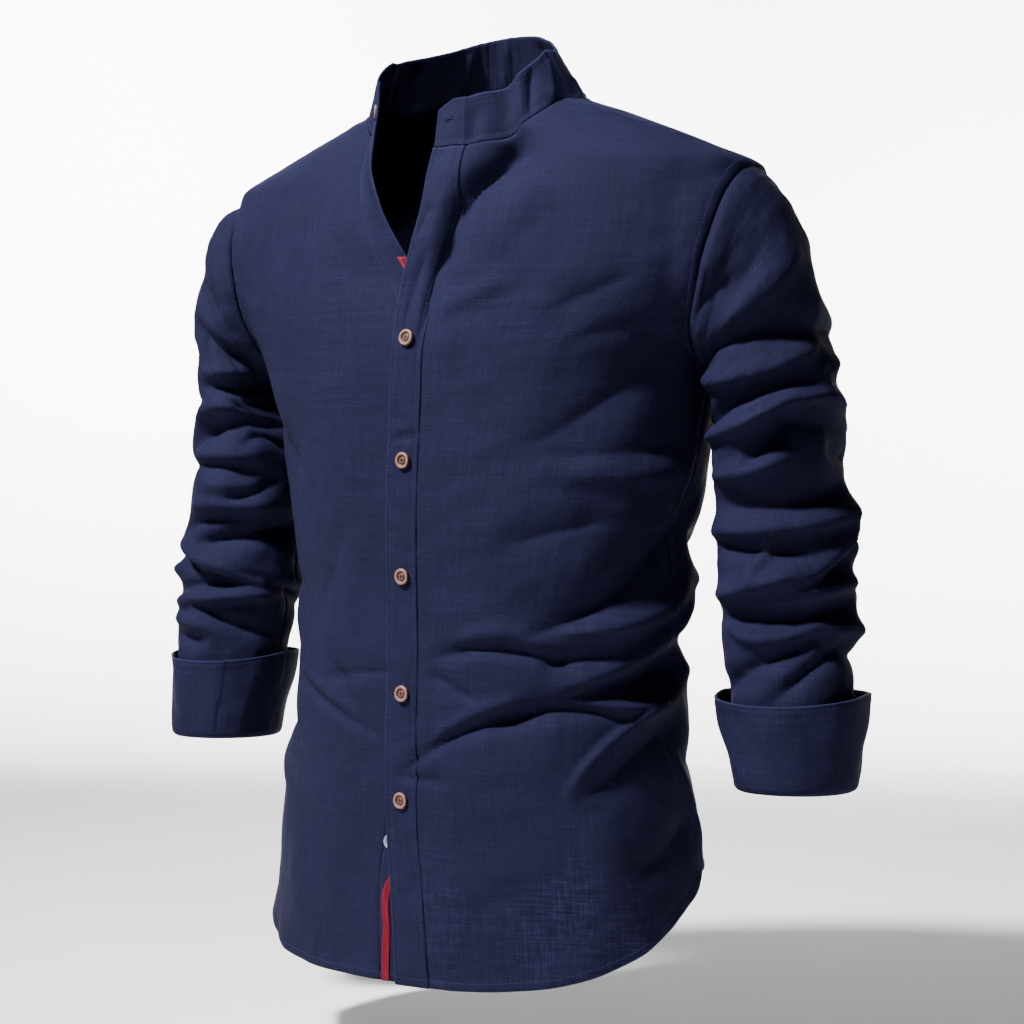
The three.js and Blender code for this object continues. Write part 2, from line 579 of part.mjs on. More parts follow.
// Yoke: over both shoulders and behind the neck.
const yokeColumns = ROWS.yoke * 2 + COLUMNS.back;
const yokeCorner = armhole(YOKE_SEAM_TURN, 1);
const neckStart = neckFront(SHOULDER_SEAM_AT, 1);
const neckEnd = neckFront(SHOULDER_SEAM_AT, -1);
function neckBackZ(phi) {
  const end = phi < 180 ? neckStart : neckEnd;
  const away = Math.abs(180 - phi) / (180 - Math.abs(end.phi));
  return mix(NECK_BACK_Z, end.z, ease(away));
}
function yokeNeck(j) {
  const phi = mix(neckStart.phi, 360 + neckEnd.phi, j / yokeColumns);
  return { phi, z: neckBackZ(phi) };
}
function yokeOuter(j) {
  if (j <= ROWS.yoke) return armhole(mix(SHOULDER_SEAM_TURN, YOKE_SEAM_TURN, j / ROWS.yoke), 1);
  if (j >= yokeColumns - ROWS.yoke) {
    const place = yokeOuter(yokeColumns - j);
    return { phi: 360 - place.phi, z: place.z };
  }
  return yokeSeam((j - ROWS.yoke) / COLUMNS.back);
}
function yokeSeam(t) {
  const phi = mix(yokeCorner.phi, 360 - yokeCorner.phi, t);
  return { phi, z: mix(YOKE_SEAM_Z, yokeCorner.z, Math.abs(2 * t - 1) ** EDGE_FADE) };
}
const yoke = piece(
  "yoke",
  cloth,
  grid(COLUMNS.front, yokeColumns, (i, j) => {
    if (j === 0) return leftFront[0][i].p.clone();
    if (j === yokeColumns) return rightFront[0][COLUMNS.front - i].p.clone();
    const place = meet(yokeNeck(j), yokeOuter(j), i / COLUMNS.front);
    return body(place.phi, place.z);
  }),
  WALL,
);

// Back: from the yoke's seam to the hem.
const backRows = ROWS.armBack + ROWS.below;
const hemCorner = sidePhi(HEM.side);
function backSide(i) {
  if (i <= ROWS.armBack) return armhole(mix(YOKE_SEAM_TURN, -180, i / ROWS.armBack), 1);
  const z = mix(ARMHOLE.z - ARMHOLE.halfHeight, HEM.side, (i - ROWS.armBack) / ROWS.below);
  return { phi: sidePhi(z), z };
}
piece(
  "back",
  cloth,
  grid(backRows, COLUMNS.back, (i, j) => {
    const t = j / COLUMNS.back;
    const side = backSide(i);
    const phi = mix(side.phi, 360 - side.phi, t);
    const down = i / backRows;
    const inward = 1 - Math.abs(2 * t - 1);
    const top = yokeSeam(t).z - mix(yokeCorner.z, YOKE_SEAM_Z, inward);
    const low = hemZ(mix(hemCorner, 360 - hemCorner, t)) - mix(HEM.side, HEM.back, inward);
    const level = mix(side.z, mix(YOKE_SEAM_Z, HEM.back, down), inward);
    return body(phi, level + top * (1 - down) ** EDGE_FADE + low * down ** EDGE_FADE);
  }),
  WALL,
);

// Collar band, standing on the neck seam.
const neckRing = [
  ...leftBand[0].map((cell) => cell.p),
  ...leftFront.slice(0, ROWS.neck).reverse().map((line) => line[0].p),
  ...yoke[0].slice(1, -1).map((cell) => cell.p),
  ...rightFront.slice(0, ROWS.neck).map((line) => line[COLUMNS.front].p),
  ...rightBand[0].map((cell) => cell.p),
];
const collarColumns = neckRing.length - 1;
function collarPoint(j, up) {
  const base = neckRing[j];
  const at = j / collarColumns;
  const inward = new THREE.Vector3(-base.x, COLLAR_AXIS_Y - base.y, 0).normalize();
  return base
    .clone()
    .addScaledVector(inward, read(COLLAR, "at", "lean", at) * up)
    .add(new THREE.Vector3(0, 0, read(COLLAR, "at", "up", at) * up));
}
const collar = piece(
  "collar",
  cloth,
  grid(ROWS.collar, collarColumns, (i, j) => collarPoint(j, 1 - i / ROWS.collar)),
  BAND_WALL,
);

// Sleeves
const sleeveTurns = [
  ...grid(0, ROWS.yoke - 1, (i, j) => mix(SHOULDER_SEAM_TURN, YOKE_SEAM_TURN, j / ROWS.yoke))[0],
  ...grid(0, ROWS.armBack - 1, (i, j) => mix(YOKE_SEAM_TURN, -180, j / ROWS.armBack))[0],
  ...grid(0, ROWS.armFront - 1, (i, j) => mix(180, SHOULDER_SEAM_TURN, j / ROWS.armFront))[0],
].map((cell) => cell.p);

function sleeveSection(turn, at, sign, spread = 0) {
  const s = {};
  for (const name of ["outX", "outZ", "inX", "inZ", "y", "deep"]) s[name] = read(SLEEVE, "at", name, at);
  const c = signedPower(Math.cos(turn * TURN), 2 / SLEEVE_SQUARE);
  const half = new THREE.Vector2((s.outX - s.inX) / 2, (s.outZ - s.inZ) / 2);
  half.setLength(half.length() + spread);
  const p = new THREE.Vector3(
    (s.outX + s.inX) / 2 + half.x * c,
    s.y - (s.deep + spread) * signedPower(Math.sin(turn * TURN), 2 / SLEEVE_SQUARE),
    (s.outZ + s.inZ) / 2 + half.y * c,
  );
  if (sign < 0) {
    for (const name of ["x", "y", "z"]) p[name] += read(RIGHT_SLEEVE, "at", name, at);
    p.x = -p.x - (read(RIGHT_SLEEVE, "at", "outer", at) * (1 + c)) / 2;
  }
  return p;
}
function sleeveBase(turn, at, sign) {
  const p = sleeveSection(turn, at, sign);
  const fade = 1 - ease(at / ARMHOLE_EASE);
  if (fade > 0) {
    const place = armhole(turn, sign);
    p.addScaledVector(body(place.phi, place.z).sub(sleeveSection(turn, 0, sign)), fade);
  }
  return p;
}
function sleeveSurface(turn, at, sign) {
  const p = sleeveBase(turn, at, sign);
  const height = sleeveSection(turn, at, 1).z;
  const fade = ease(at / SLEEVE_FADE.top) * ease((1 - at) / SLEEVE_FADE.bottom);
  const out = sleeveFold(sign > 0 ? LEFT_FOLDS : RIGHT_FOLDS, turn, height) * fade;
  const n = outward((t, a) => sleeveBase(t, clamp(a), sign), turn, at, -2 * STEP.turn, STEP.share);
  return p.addScaledVector(n, sign * out);
}
const inOrder = (sign) => (sign > 0 ? sleeveTurns : [...sleeveTurns].reverse());

function sleevePiece(name, sign) {
  const turns = inOrder(sign);
  const place = (i, j) => sleeveSurface(turns[j], i / ROWS.sleeve, sign);
  return piece(name, cloth, grid(ROWS.sleeve, turns.length - 1, place), WALL, true);
}
sleevePiece("sleeve_left", 1);
sleevePiece("sleeve_right", -1);

// Cuffs, turned back over the sleeves' ends.
function cuffPiece(name, sign) {
  const turns = inOrder(sign);
  const place = (i, j) => {
    const { out, up } = CUFF[i];
    const p = sleeveSection(turns[j], 1, sign, out);
    const front = Math.max(0, Math.sin(turns[j] * TURN));
    const raised = ease(up / CUFF.at(-1).up);
    p.z += up - CUFF[0].up - CUFF_DIP * front * raised;
    p.x += sign * (CUFF_FLARE[sign > 0 ? "left" : "right"] * Math.cos(turns[j] * TURN) - CUFF_LEAN) * raised;
    p.y += CUFF_LEAN * raised;
    return p;
  };
  return piece(name, cloth, grid(CUFF.length - 1, turns.length - 1, place), CUFF_WALL, true);
}
cuffPiece("cuff_left", 1);
cuffPiece("cuff_right", -1);

// Tape, on the outside of the right band, down to its hem.
function onBand(cells, row, along) {
  const i = Math.min(cells.length - 2, Math.floor(row));
  const j = Math.min(COLUMNS.band - 1, Math.floor(along * COLUMNS.band));
  const side = along * COLUMNS.band - j;
  const blend = (key) => {
    const upper = cells[i][j][key].clone().lerp(cells[i][j + 1][key], side);
    const lower = cells[i + 1][j][key].clone().lerp(cells[i + 1][j + 1][key], side);
    return upper.lerp(lower, row - i);
  };
  return { p: blend("p"), n: blend("n").normalize() };
}
piece(
  "tape",
  tapeRed,
  grid(ROWS.band - Math.floor(TAPE_FROM), 1, (i, j) => {
    const row = i === 0 ? TAPE_FROM : Math.floor(TAPE_FROM) + i;
    const z = onBand(rightBand, row, 0).p.z;
    const wide = read(RIGHT_BAND, "z", "free", z) - read(RIGHT_BAND, "z", "seam", z);
    const along = read(TAPE, "z", "along", z) + ((j - 0.5) * TAPE_WIDTH) / wide;
    const { p, n } = onBand(rightBand, row, along);
    return p.addScaledVector(n, SEAM_GAP + TAPE_WALL);
  }),
  TAPE_WALL,
);

// Label, inside the back of the neck.
piece(
  "label",
  labelGrey,
  grid(LABEL.rows, LABEL.columns, (i, j) => {
    const phi = 180 + LABEL.halfTurn * ((2 * j) / LABEL.columns - 1);
    const z = neckBackZ(phi) - mix(LABEL.top, LABEL.drop, i / LABEL.rows);
    return body(phi, z, -WALL - 2 * SEAM_GAP);
  }),
  LABEL.wall,
);

settleSeams();
pieces.forEach(drawIn);

const shirt = new THREE.Group();
for (const made of pieces) shirt.add(wallMesh(made));

// Buttons: a turned disc with a raised rim. Its flat back faces the cloth at a place.
function button(name, material, place, face, radius, wall) {
  const { rim, dish, round, sides } = BUTTON;
  const profile = [
    [0, 0],
    [radius - round, 0],
    [radius, wall / 3],
    [radius, wall - round],
    [radius - round, wall],
    [radius - rim, wall],
    [radius - rim - dish / 2, wall - dish],
    [0, wall - dish],
  ].map(([x, y]) => new THREE.Vector2(x, y));
  const geometry = new THREE.LatheGeometry(profile, sides);
  const upright = new THREE.Quaternion().setFromUnitVectors(new THREE.Vector3(0, 1, 0), face);
  geometry.rotateY(BUTTON_TURN);
  geometry.applyQuaternion(upright);
  geometry.translate(...place.clone().addScaledVector(face, SEAM_GAP * 2));
  const mesh = new THREE.Mesh(geometry, material);
  mesh.name = name;
  shirt.add(mesh);
}

const bandFace = (band, t, z) => outward((a, d) => bandSurface(band, a, d), t, z, BAND_STEPS.along, -BAND_STEPS.z);
FRONT_BUTTONS.forEach(({ z, along }, k) => {
  const face = bandFace(LEFT_BAND, along, z).negate();
  button(`button_${k + 1}`, wood, bandSurface(LEFT_BAND, along, z), face, BUTTON.radius, BUTTON.wall);
});

// The collar's button, on its right end, and a pale one under the left band near the hem.
const collarAt = (at, up) => {
  const j = Math.min(collarColumns - 1, Math.floor(at * collarColumns));
  return collarPoint(j, up).lerp(collarPoint(j + 1, up), at * collarColumns - j);
};
const collarFace = outward((a, d) => collarAt(a, d), COLLAR_BUTTON.at, COLLAR_BUTTON.up, COLLAR_STEPS.at, -COLLAR_STEPS.up);
const collarSpot = collarAt(COLLAR_BUTTON.at, COLLAR_BUTTON.up);
button("button_collar", wood, collarSpot, collarFace, COLLAR_BUTTON.radius, BUTTON.wall);
{
  const { x, z, radius, wall } = HEM_BUTTON;
  const seam = read(RIGHT_BAND, "z", "seam", z);
  const t = (x - seam) / (read(RIGHT_BAND, "z", "free", z) - seam);
  const face = bandFace(RIGHT_BAND, t, z);
  const place = bandSurface(RIGHT_BAND, t, z).addScaledVector(face, TAPE_WALL + SEAM_GAP);
  button("button_hem", pale, place, face, radius, wall);
}

export default shirt;
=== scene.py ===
import bpy
import numpy as np
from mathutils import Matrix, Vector


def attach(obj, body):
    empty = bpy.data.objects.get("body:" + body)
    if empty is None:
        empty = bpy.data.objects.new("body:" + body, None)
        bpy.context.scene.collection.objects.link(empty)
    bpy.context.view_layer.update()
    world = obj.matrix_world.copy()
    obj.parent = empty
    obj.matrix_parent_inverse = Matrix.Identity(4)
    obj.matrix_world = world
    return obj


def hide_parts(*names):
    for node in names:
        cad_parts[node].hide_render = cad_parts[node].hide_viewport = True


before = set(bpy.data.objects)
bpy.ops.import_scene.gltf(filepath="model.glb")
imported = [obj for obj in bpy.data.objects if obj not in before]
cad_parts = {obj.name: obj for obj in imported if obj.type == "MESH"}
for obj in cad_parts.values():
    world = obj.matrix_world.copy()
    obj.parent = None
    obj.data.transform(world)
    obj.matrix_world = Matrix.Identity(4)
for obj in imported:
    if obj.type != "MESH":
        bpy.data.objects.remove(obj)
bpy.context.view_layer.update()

# The two fronts: a light cotton and linen cloth in dark blue, cut with a deep neck and armhole and
# a shirt-tail hem. Each is sewn to its front band, to the yoke and, down the side, to the back.
# Sizes are in millimetres, and an angle runs round the body from the centre front towards the left arm.
MM = 0.001
WALL = 1.1


def table(columns, *rows):
    """A table of sizes, as one array for each named column."""
    return {name: np.array([row[k] for row in rows], float) for k, name in enumerate(columns.split())}


def read(made, column, at):
    """One column of a table at any place, on a smooth curve that never overshoots its rows."""
    key = made[next(iter(made))]
    value = made[column]
    way = 1 if key[-1] > key[0] else -1
    key = key * way
    at = np.clip(np.asarray(at, float) * way, key[0], key[-1])
    i = np.clip(np.searchsorted(key, at, side="right") - 1, 0, len(key) - 2)
    gap = np.diff(key)
    slope = np.diff(value) / gap
    turning = slope[:-1] * slope[1:]
    both = np.where(turning > 0, slope[:-1] + slope[1:], 1)
    tangent = np.concatenate([slope[:1], np.where(turning > 0, 2 * turning / both, 0), slope[-1:]])
    t = (at - key[i]) / gap[i]
    rise = t * t * (3 - 2 * t)
    bend = t * (1 - t) * gap[i] * ((1 - t) * tangent[i] - t * tangent[i + 1])
    return value[i] * (1 - rise) + value[i + 1] * rise + bend


def mix(a, b, t):
    return a + (b - a) * t


def ease(t):
    t = np.clip(t, 0, 1)
    return t * t * (3 - 2 * t)


def power(v, p):
    return np.sign(v) * np.abs(v) ** p


def unit(v):
    return v / np.maximum(np.linalg.norm(v, axis=-1, keepdims=True), 1e-9)


BODY = table(
    "z half front back side shift twist",
    (34, 58, 30, 60, 14, 0, 0),
    (18, 70, 40, 72, 8, 0, 0),
    (0, 83, 50, 84, 3, 0, 0),
    (-20, 128, 63, 94, 4, 3, 0),
    (-46, 190, 77, 104, 8, 5, 0),
    (-66, 228, 85, 110, 12, 4, 0),
    (-108, 234, 98, 118, 14, 4, 0),
    (-150, 226, 107, 122, 14, 4, -0.5),
    (-222, 194, 116, 120, 14, 2, -1),
    (-320, 179, 117, 112, 10, 7, -6.5),
    (-420, 167, 114, 102, 6, 7, -8),
    (-520, 177, 114, 106, 4, 3, -8),
    (-620, 190.5, 114, 112, 2, 2, -8),
    (-720, 197, 112, 116, 2, 1, -8),
)
SQUARE = 2.3


def body_base(phi, z):
    """The body's own form, without folds."""
    names = ("half", "front", "back", "side", "shift", "twist")
    half, front, back, side, shift, twist = (read(BODY, name, z) for name in names)
    angle = np.radians(phi)
    x = half * power(np.sin(angle), 2 / SQUARE)
    c = np.cos(angle)
    y = side - np.where(c > 0, front + side, back - side) * power(c, 2 / SQUARE)
    turn = np.radians(twist)
    across = shift + x * np.cos(turn) - y * np.sin(turn)
    back_to_front = x * np.sin(turn) + y * np.cos(turn)
    return np.stack([across, back_to_front, z + 0 * x], -1)


# Distance round a middling section of the body, by angle.
ROUND = np.linspace(-180, 180, 721)
ROUND_HALF = {"wide": 178, "deep": 114}
ROUND_POINTS = np.stack(
    [
        ROUND_HALF["wide"] * power(np.sin(np.radians(ROUND)), 2 / SQUARE),
        ROUND_HALF["deep"] * power(np.cos(np.radians(ROUND)), 2 / SQUARE),
    ],
    -1,
)
ROUND_LENGTH = np.concatenate([[0], np.cumsum(np.linalg.norm(np.diff(ROUND_POINTS, axis=0), axis=-1))])
GIRTH = ROUND_LENGTH[-1]


def girth(phi):
    turns = np.floor((np.asarray(phi, float) + 180) / 360)
    return np.interp(phi - 360 * turns, ROUND, ROUND_LENGTH) + GIRTH * turns - GIRTH / 2


# Folds of the body: two ends, how far the fold bows up between them, how far it stands out
# (or lies in, below 0), its half width at each end, and how much steeper its lower flank is.
BODY_FOLDS = table(
    "phi0 z0 phi1 z1 bow out wide0 wide1 steep",
    (18, -40, 4.6, -98, 4, -8.5, 12, 9, -0.35),
    (19, -42, 7, -80, 1, -4.5, 6, 5, 0),
    (6.5, -84, 3, -150, 1, -4.5, 5, 4, 0),
    (4.6, -92, 2.2, -186, 0, -6, 7, 4, -0.3),
    (21, -74, 13, -128, 0, 2.4, 14, 10, 0),
    (5, -177, 17, -156, 0, 1.6, 9, 9, 0.3),
    (30, -176, 46, -152, 0, -1.8, 12, 12, 0),
    (38, -200, 63, -198, 5, -1.6, 10, 12, 0),
    (34, -276, 72, -198, -4, -4.5, 14, 26, 0),
    (36, -286, 84, -276, -4, -3.5, 9, 20, 0.3),
    (40, -300, 88, -296, -3, 2.6, 8, 14, 0.2),
    (30, -352, 58, -335, 0, -2.6, 9, 12, 0.2),
    (40, -418, 94, -332, -12, -8.5, 9, 18, 0.35),
    (50, -416, 98, -386, -8, 5.5, 7, 12, 0),
    (12, -436, 46, -440, 7, -4.6, 6, 8, 0.35),
    (16, -424, 44, -428, 7, 2.4, 7, 8, 0),
    (44, -441, 64, -435, 0, -4.6, 8, 6, 0.2),
    (53, -456, 108, -392, -8, 5.5, 6, 12, 0),
    (51, -463, 100, -448, 3, -11.5, 4, 21, 0),
    (52, -469, 98, -468, -5, 5.0, 5, 9, -0.3),
    (4, -520, 34, -481, 7, -6.2, 4, 9, 0.3),
    (30, -484, 68, -481, 8, -7.0, 9, 7, 0.3),
    (8, -506, 36, -470, 7, 2.6, 5, 8, 0),
    (50, -528, 84, -477, 8, 3.6, 6, 9, -0.6),
    (56, -536, 96, -490, 6, -6.0, 8, 26, 0),
    (9, -450, 20, -468, 0, -2.2, 5, 5, 0),
    (1.5, -529, 12, -531, 0, -1.6, 5, 5, 0),
    (96, -520, 106, -580, 0, 2.4, 5, 8, 0),
    (70, -600, 98, -560, 0, -3, 16, 16, 0),
    (30, -600, 44, -655, 0, -2.0, 16, 20, 0),
    (58, -560, 62, -640, 0, 2.2, 20, 24, 0),
    (14, -590, 17, -660, 0, 1.4, 14, 18, 0),
    (-49, -458, -8, -496, 0, -2.6, 6, 5, 0.4),
    (-46, -450, -10, -486, 0, 1.4, 6, 5, 0),
    (-24, -457, -3, -450, 0, -2.0, 6, 5, 0),
    (-26, -440, -7, -492, 0, -1.6, 8, 7, 0),
    (-90, -338, -42, -412, 5, -5.5, 15, 8, 0.2),
    (-88, -360, -52, -430, 4, 3.2, 12, 7, 0),
    (-84, -222, -38, -292, 0, -4.5, 24, 12, 0),
    (-94, -466, -34, -524, 2, -5, 16, 7, 0.2),
    (-92, -492, -46, -548, 0, 2.6, 12, 8, 0),
    (-70, -560, -60, -640, 0, -2.2, 18, 22, 0),
    (-34, -580, -30, -660, 0, 1.8, 18, 20, 0),
    (-12, -330, -30, -404, 0, -1.3, 14, 14, 0),
    (102, -346, 146, -408, 5, -6, 15, 9, 0.2),
    (106, -372, 150, -426, 4, 3.6, 9, 8, 0),
    (258, -346, 218, -414, 5, -6, 15, 9, 0.2),
    (254, -374, 214, -432, 4, 3.6, 9, 8, 0),
    (108, -428, 172, -456, 7, -5.5, 14, 7, 0.2),
    (112, -450, 170, -470, 6, 3, 9, 7, 0),
    (252, -446, 190, -480, 6, -5.5, 14, 7, 0.2),
    (250, -468, 196, -496, 5, 3, 9, 7, 0),
    (110, -520, 154, -496, 0, -4, 14, 8, 0),
    (248, -536, 208, -506, 0, -4, 14, 8, 0),
    (128, -136, 141, -244, 0, -6, 18, 20, 0),
    (232, -136, 219, -244, 0, -6, 18, 20, 0),
    (150, -110, 160, -190, 0, 2.2, 12, 18, 0),
    (212, -108, 202, -196, 0, 2.2, 12, 18, 0),
    (140, -540, 150, -650, 0, 2.4, 18, 24, 0),
    (196, -550, 190, -660, 0, -2.6, 18, 24, 0),
    (222, -560, 228, -640, 0, 2.4, 18, 24, 0),
)
FOLD_END = 0.25
BODY_DEEP = 1.95
SLEEVE_DEEP = 2.0


def folded(folds, across, z, length, around):
    """How far the folds move the cloth.

    across and length are in millimetres round, and around is the whole round."""
    out = np.zeros(np.shape(across))
    for a0, z0, a1, z1, bow, high, wide0, wide1, steep in zip(*folds.values()):
        span, drop = length(a1) - length(a0), z1 - z0
        far = across - (length(a0) + length(a1)) / 2
        far = far - around * np.round(far / around) + span / 2
        reach = np.hypot(span, drop)
        t = (far * span + (z - z0) * drop) / reach**2
        off = (far * drop - (z - z0) * span) / reach + bow * (1 - (2 * t - 1) ** 2) * np.sign(span)
        wide = mix(wide0, wide1, np.clip(t, -FOLD_END, 1 + FOLD_END))
        flank = wide * np.where(off * np.sign(span) > 0, 1 - steep, 1 + steep)
        fade = ease((t + FOLD_END) / (2 * FOLD_END)) * ease((1 + FOLD_END - t) / (2 * FOLD_END))
        crest = 1.2 if high < 0 else 2
        out += high * fade * (wide / max(wide0, wide1)) * np.exp(-(np.abs(off / flank) ** crest))
    return out


def waves(across, down, seed, shortest, longest, count=14):
    """Soft unevenness of about 1 either way, from crossing waves."""
    chance = np.random.default_rng(seed)
    total = np.zeros(np.shape(across))
    for _ in range(count):
        length = mix(shortest, longest, chance.random())
        heading = chance.random() * np.pi
        phase = chance.random() * 2 * np.pi
        bent = 0.8 * np.sin((across * chance.normal() + down * chance.normal()) / longest + phase)
        along = across * np.cos(heading) + down * np.sin(heading)
        total += np.sin(along * 2 * np.pi / length + phase + bent)
    return total / np.sqrt(count)


def outward(points):
    """Outward direction of a grid of points whose rows run down and whose columns run anticlockwise."""
    return unit(np.cross(np.gradient(points, axis=0), np.gradient(points, axis=1)))


def body(phi, z, lift=0):
    """The body with its folds, lifted off by a distance."""
    step = 0.5
    across = body_base(phi + step, z) - body_base(phi - step, z)
    down = body_base(phi, z - step) - body_base(phi, z + step)
    out = BODY_DEEP * folded(BODY_FOLDS, girth(phi), z, girth, GIRTH) + lift
    return body_base(phi, z) + unit(np.cross(down, across)) * out[..., None]


def phi_of_x(x, z):
    share = np.minimum(0.9995, np.abs(x) / read(BODY, "half", z))
    return np.sign(x) * np.degrees(np.arcsin(share ** (SQUARE / 2)))


def phi_of_y(y, z):
    side = read(BODY, "side", z)
    depth = np.where(y < side, read(BODY, "front", z) + side, read(BODY, "back", z) - side)
    from_front = np.degrees(np.arccos(np.minimum(1, np.abs(y - side) / depth) ** (SQUARE / 2)))
    return np.where(y < side, from_front, 180 - from_front)


ARMHOLE = {"y": 14, "z": -144, "half_depth": 54, "half_height": 78}
UNDERARM_Z = ARMHOLE["z"] - ARMHOLE["half_height"]
SHOULDER_SEAM_TURN = 8
SHOULDER_SEAM_AT = 0.22


def armhole(turn, sign):
    """Place on the armhole, at a turn round it: 0 at the shoulder point, 90 in front."""
    z = ARMHOLE["z"] + ARMHOLE["half_height"] * np.cos(np.radians(turn))
    y = ARMHOLE["y"] - ARMHOLE["half_depth"] * np.sin(np.radians(turn))
    return sign * phi_of_y(y, z), z


NECK_FRONT = table(
    "at left_x left_z right_x right_z",
    (0, 83, 0, 83, 0),
    (0.16, 87, -6, 84, -5),
    (0.34, 86, -14, 84, -11),
    (0.6, 73, -28, 80, -18),
    (0.82, 52, -42, 75, -25),
    (1, 27.5, -50, 68, -32),
)


def neck_front(at, sign):
    side = "left" if sign > 0 else "right"
    z = read(NECK_FRONT, side + "_z", at)
    return sign * phi_of_x(read(NECK_FRONT, side + "_x", at), z), z


SIDE_SEAM = table("z phi", (-222, 90), (-490, 90), (-600, 106))
HEM = {"side": -600, "front": -687, "back": -680, "fullness": 2.4, "back_rise": 0.95}
HEM_CORNER = 106


def hem_z(phi):
    a = np.abs((np.asarray(phi, float) + 180) % 360 - 180)
    before = mix(HEM["front"], HEM["side"], np.minimum(a / HEM_CORNER, 1) ** HEM["fullness"])
    behind = (a - HEM_CORNER) / (180 - HEM_CORNER) * HEM["back_rise"]
    return np.where(a < HEM_CORNER, before, mix(HEM["side"], HEM["back"], ease(behind)))


LEFT_BAND = table(
    "z seam free out tip",
    (-50, 27.5, -0.5, 5, 5),
    (-87, 27, -1, 5, 5),
    (-133, 20, -8, 3, 3),
    (-164, 15, -12.5, 1.5, 1.5),
    (-196, 14, -14, 1, 1),
    (-320, 17.5, -12, 1, 1),
    (-560, 23.5, -6.5, 1, 1),
    (-620, 30.5, 0.5, 2, 3),
    (-720, 39, 8.5, 3, 5),
)
RIGHT_BAND = table(
    "z seam free out tip",
    (-32, -68, -52, 0, 17),
    (-60, -66, -49, 1, 15),
    (-95, -58, -36, 1, 9),
    (-122, -44, -19, 0, 2.5),
    (-137, -34, -8, -2.5, -2.5),
    (-150, -26, 1, -3.8, -3.8),
    (-172, -14, 13, -3.4, -3.4),
    (-196, -10, 17, -3.2, -3.2),
    (-540, -6, 21, -3.2, -3.2),
    (-577, -11, 16, -5, -4.5),
    (-610, -15.5, 11.5, -4.2, -4.2),
    (-720, -15.5, 11.5, -3.2, -3.2),
)
BAND_STEP = 0.8
TUCK = 2.5
BAND_EASE = 14
ROWS = {"neck": 6, "arm_front": 11, "arm_back": 8, "yoke": 4, "below": 23, "band": 28}
COLUMNS = {"front": 10, "back": 20}
FINE = 9
EDGE_FADE = 2.5


def band_z(band, t, sign):
    bottom = hem_z(phi_of_x(read(band, "seam", HEM["front"]), HEM["front"]))
    return mix(neck_front(1, sign)[1], bottom, t)


def lattice(rows, columns, fine=FINE):
    down = np.linspace(0, rows, round(rows * fine) + 1)
    across = np.linspace(0, columns, round(columns * fine) + 1)
    return np.meshgrid(down, across, indexing="ij")


def distances(points):
    """How far each point lies from the grid's left, right, top and bottom edge."""
    zero = np.zeros(points.shape[:2])
    made = {}
    for first, second, axis in (("west", "east", 1), ("north", "south", 0)):
        steps = np.linalg.norm(np.diff(points, axis=axis), axis=-1)
        run = zero.copy()
        if axis == 1:
            run[:, 1:] = np.cumsum(steps, axis=1)
            made[first], made[second] = run, run[:, -1:] - run
        else:
            run[1:, :] = np.cumsum(steps, axis=0)
            made[first], made[second] = run, run[-1:, :] - run
    return made


def seam(distance, along, seed, width=7, height=0.45):
    """Relief beside a seam: a felled strip with its edge, the dip of the seam and small puckers."""
    strip = height * ease((width + 1.5 - distance) / 3)
    dip = -0.7 * np.exp(-((distance / 1.2) ** 2))
    pucker = waves(along, 0 * along, seed, 9, 24, 7) * 0.32 * np.exp(-(((distance - width) / 7) ** 2))
    return strip + dip + pucker


def raised(points, height):
    return points + outward(points) * height[..., None]


class Wire:
    """A socket of a shader, so that shader maths can be written as sums."""

    def __init__(self, finish, socket):
        self.finish = finish
        self.socket = socket

    def join(self, operation, first, second):
        return self.finish.node("Math", {"operation": operation}, {0: first, 1: second})

    def __add__(self, other):
        return self.join("ADD", self, other)

    __radd__ = __add__

    def __sub__(self, other):
        return self.join("SUBTRACT", self, other)

    def __rsub__(self, other):
        return self.join("SUBTRACT", other, self)

    def __mul__(self, other):
        return self.join("MULTIPLY", self, other)

    __rmul__ = __mul__


class Finish:
    """A material, built from nodes."""

    def __init__(self, name, **settings):
        self.material = bpy.data.materials.new(name)
        self.material.use_nodes = True
        self.tree = self.material.node_tree
        self.tree.nodes.clear()
        self.shader = self.tree.nodes.new("ShaderNodeBsdfPrincipled")
        surface = self.tree.nodes.new("ShaderNodeOutputMaterial")
        self.tree.links.new(self.shader.outputs["BSDF"], surface.inputs["Surface"])
        for key, value in settings.items():
            self.feed(self.shader.inputs[key.replace("_", " ")], value)

    def feed(self, socket, value):
        if isinstance(value, Wire):
            self.tree.links.new(value.socket, socket)
        else:
            socket.default_value = value

    def node(self, kind, settings=None, sockets=None, output=0):
        made = self.tree.nodes.new("ShaderNode" + kind)
        for key, value in (settings or {}).items():
            if key == "stops":
                while len(made.color_ramp.elements) < len(value):
                    made.color_ramp.elements.new(0.5)
                for element, (place, colour) in zip(made.color_ramp.elements, value):
                    element.position = place
                    element.color = (*colour, 1)
            else:
                setattr(made, key, value)
        for key, value in (sockets or {}).items():
            self.feed(made.inputs[key], value)
        return Wire(self, made.outputs[output])

    def set(self, name, value):
        self.feed(self.shader.inputs[name], value)


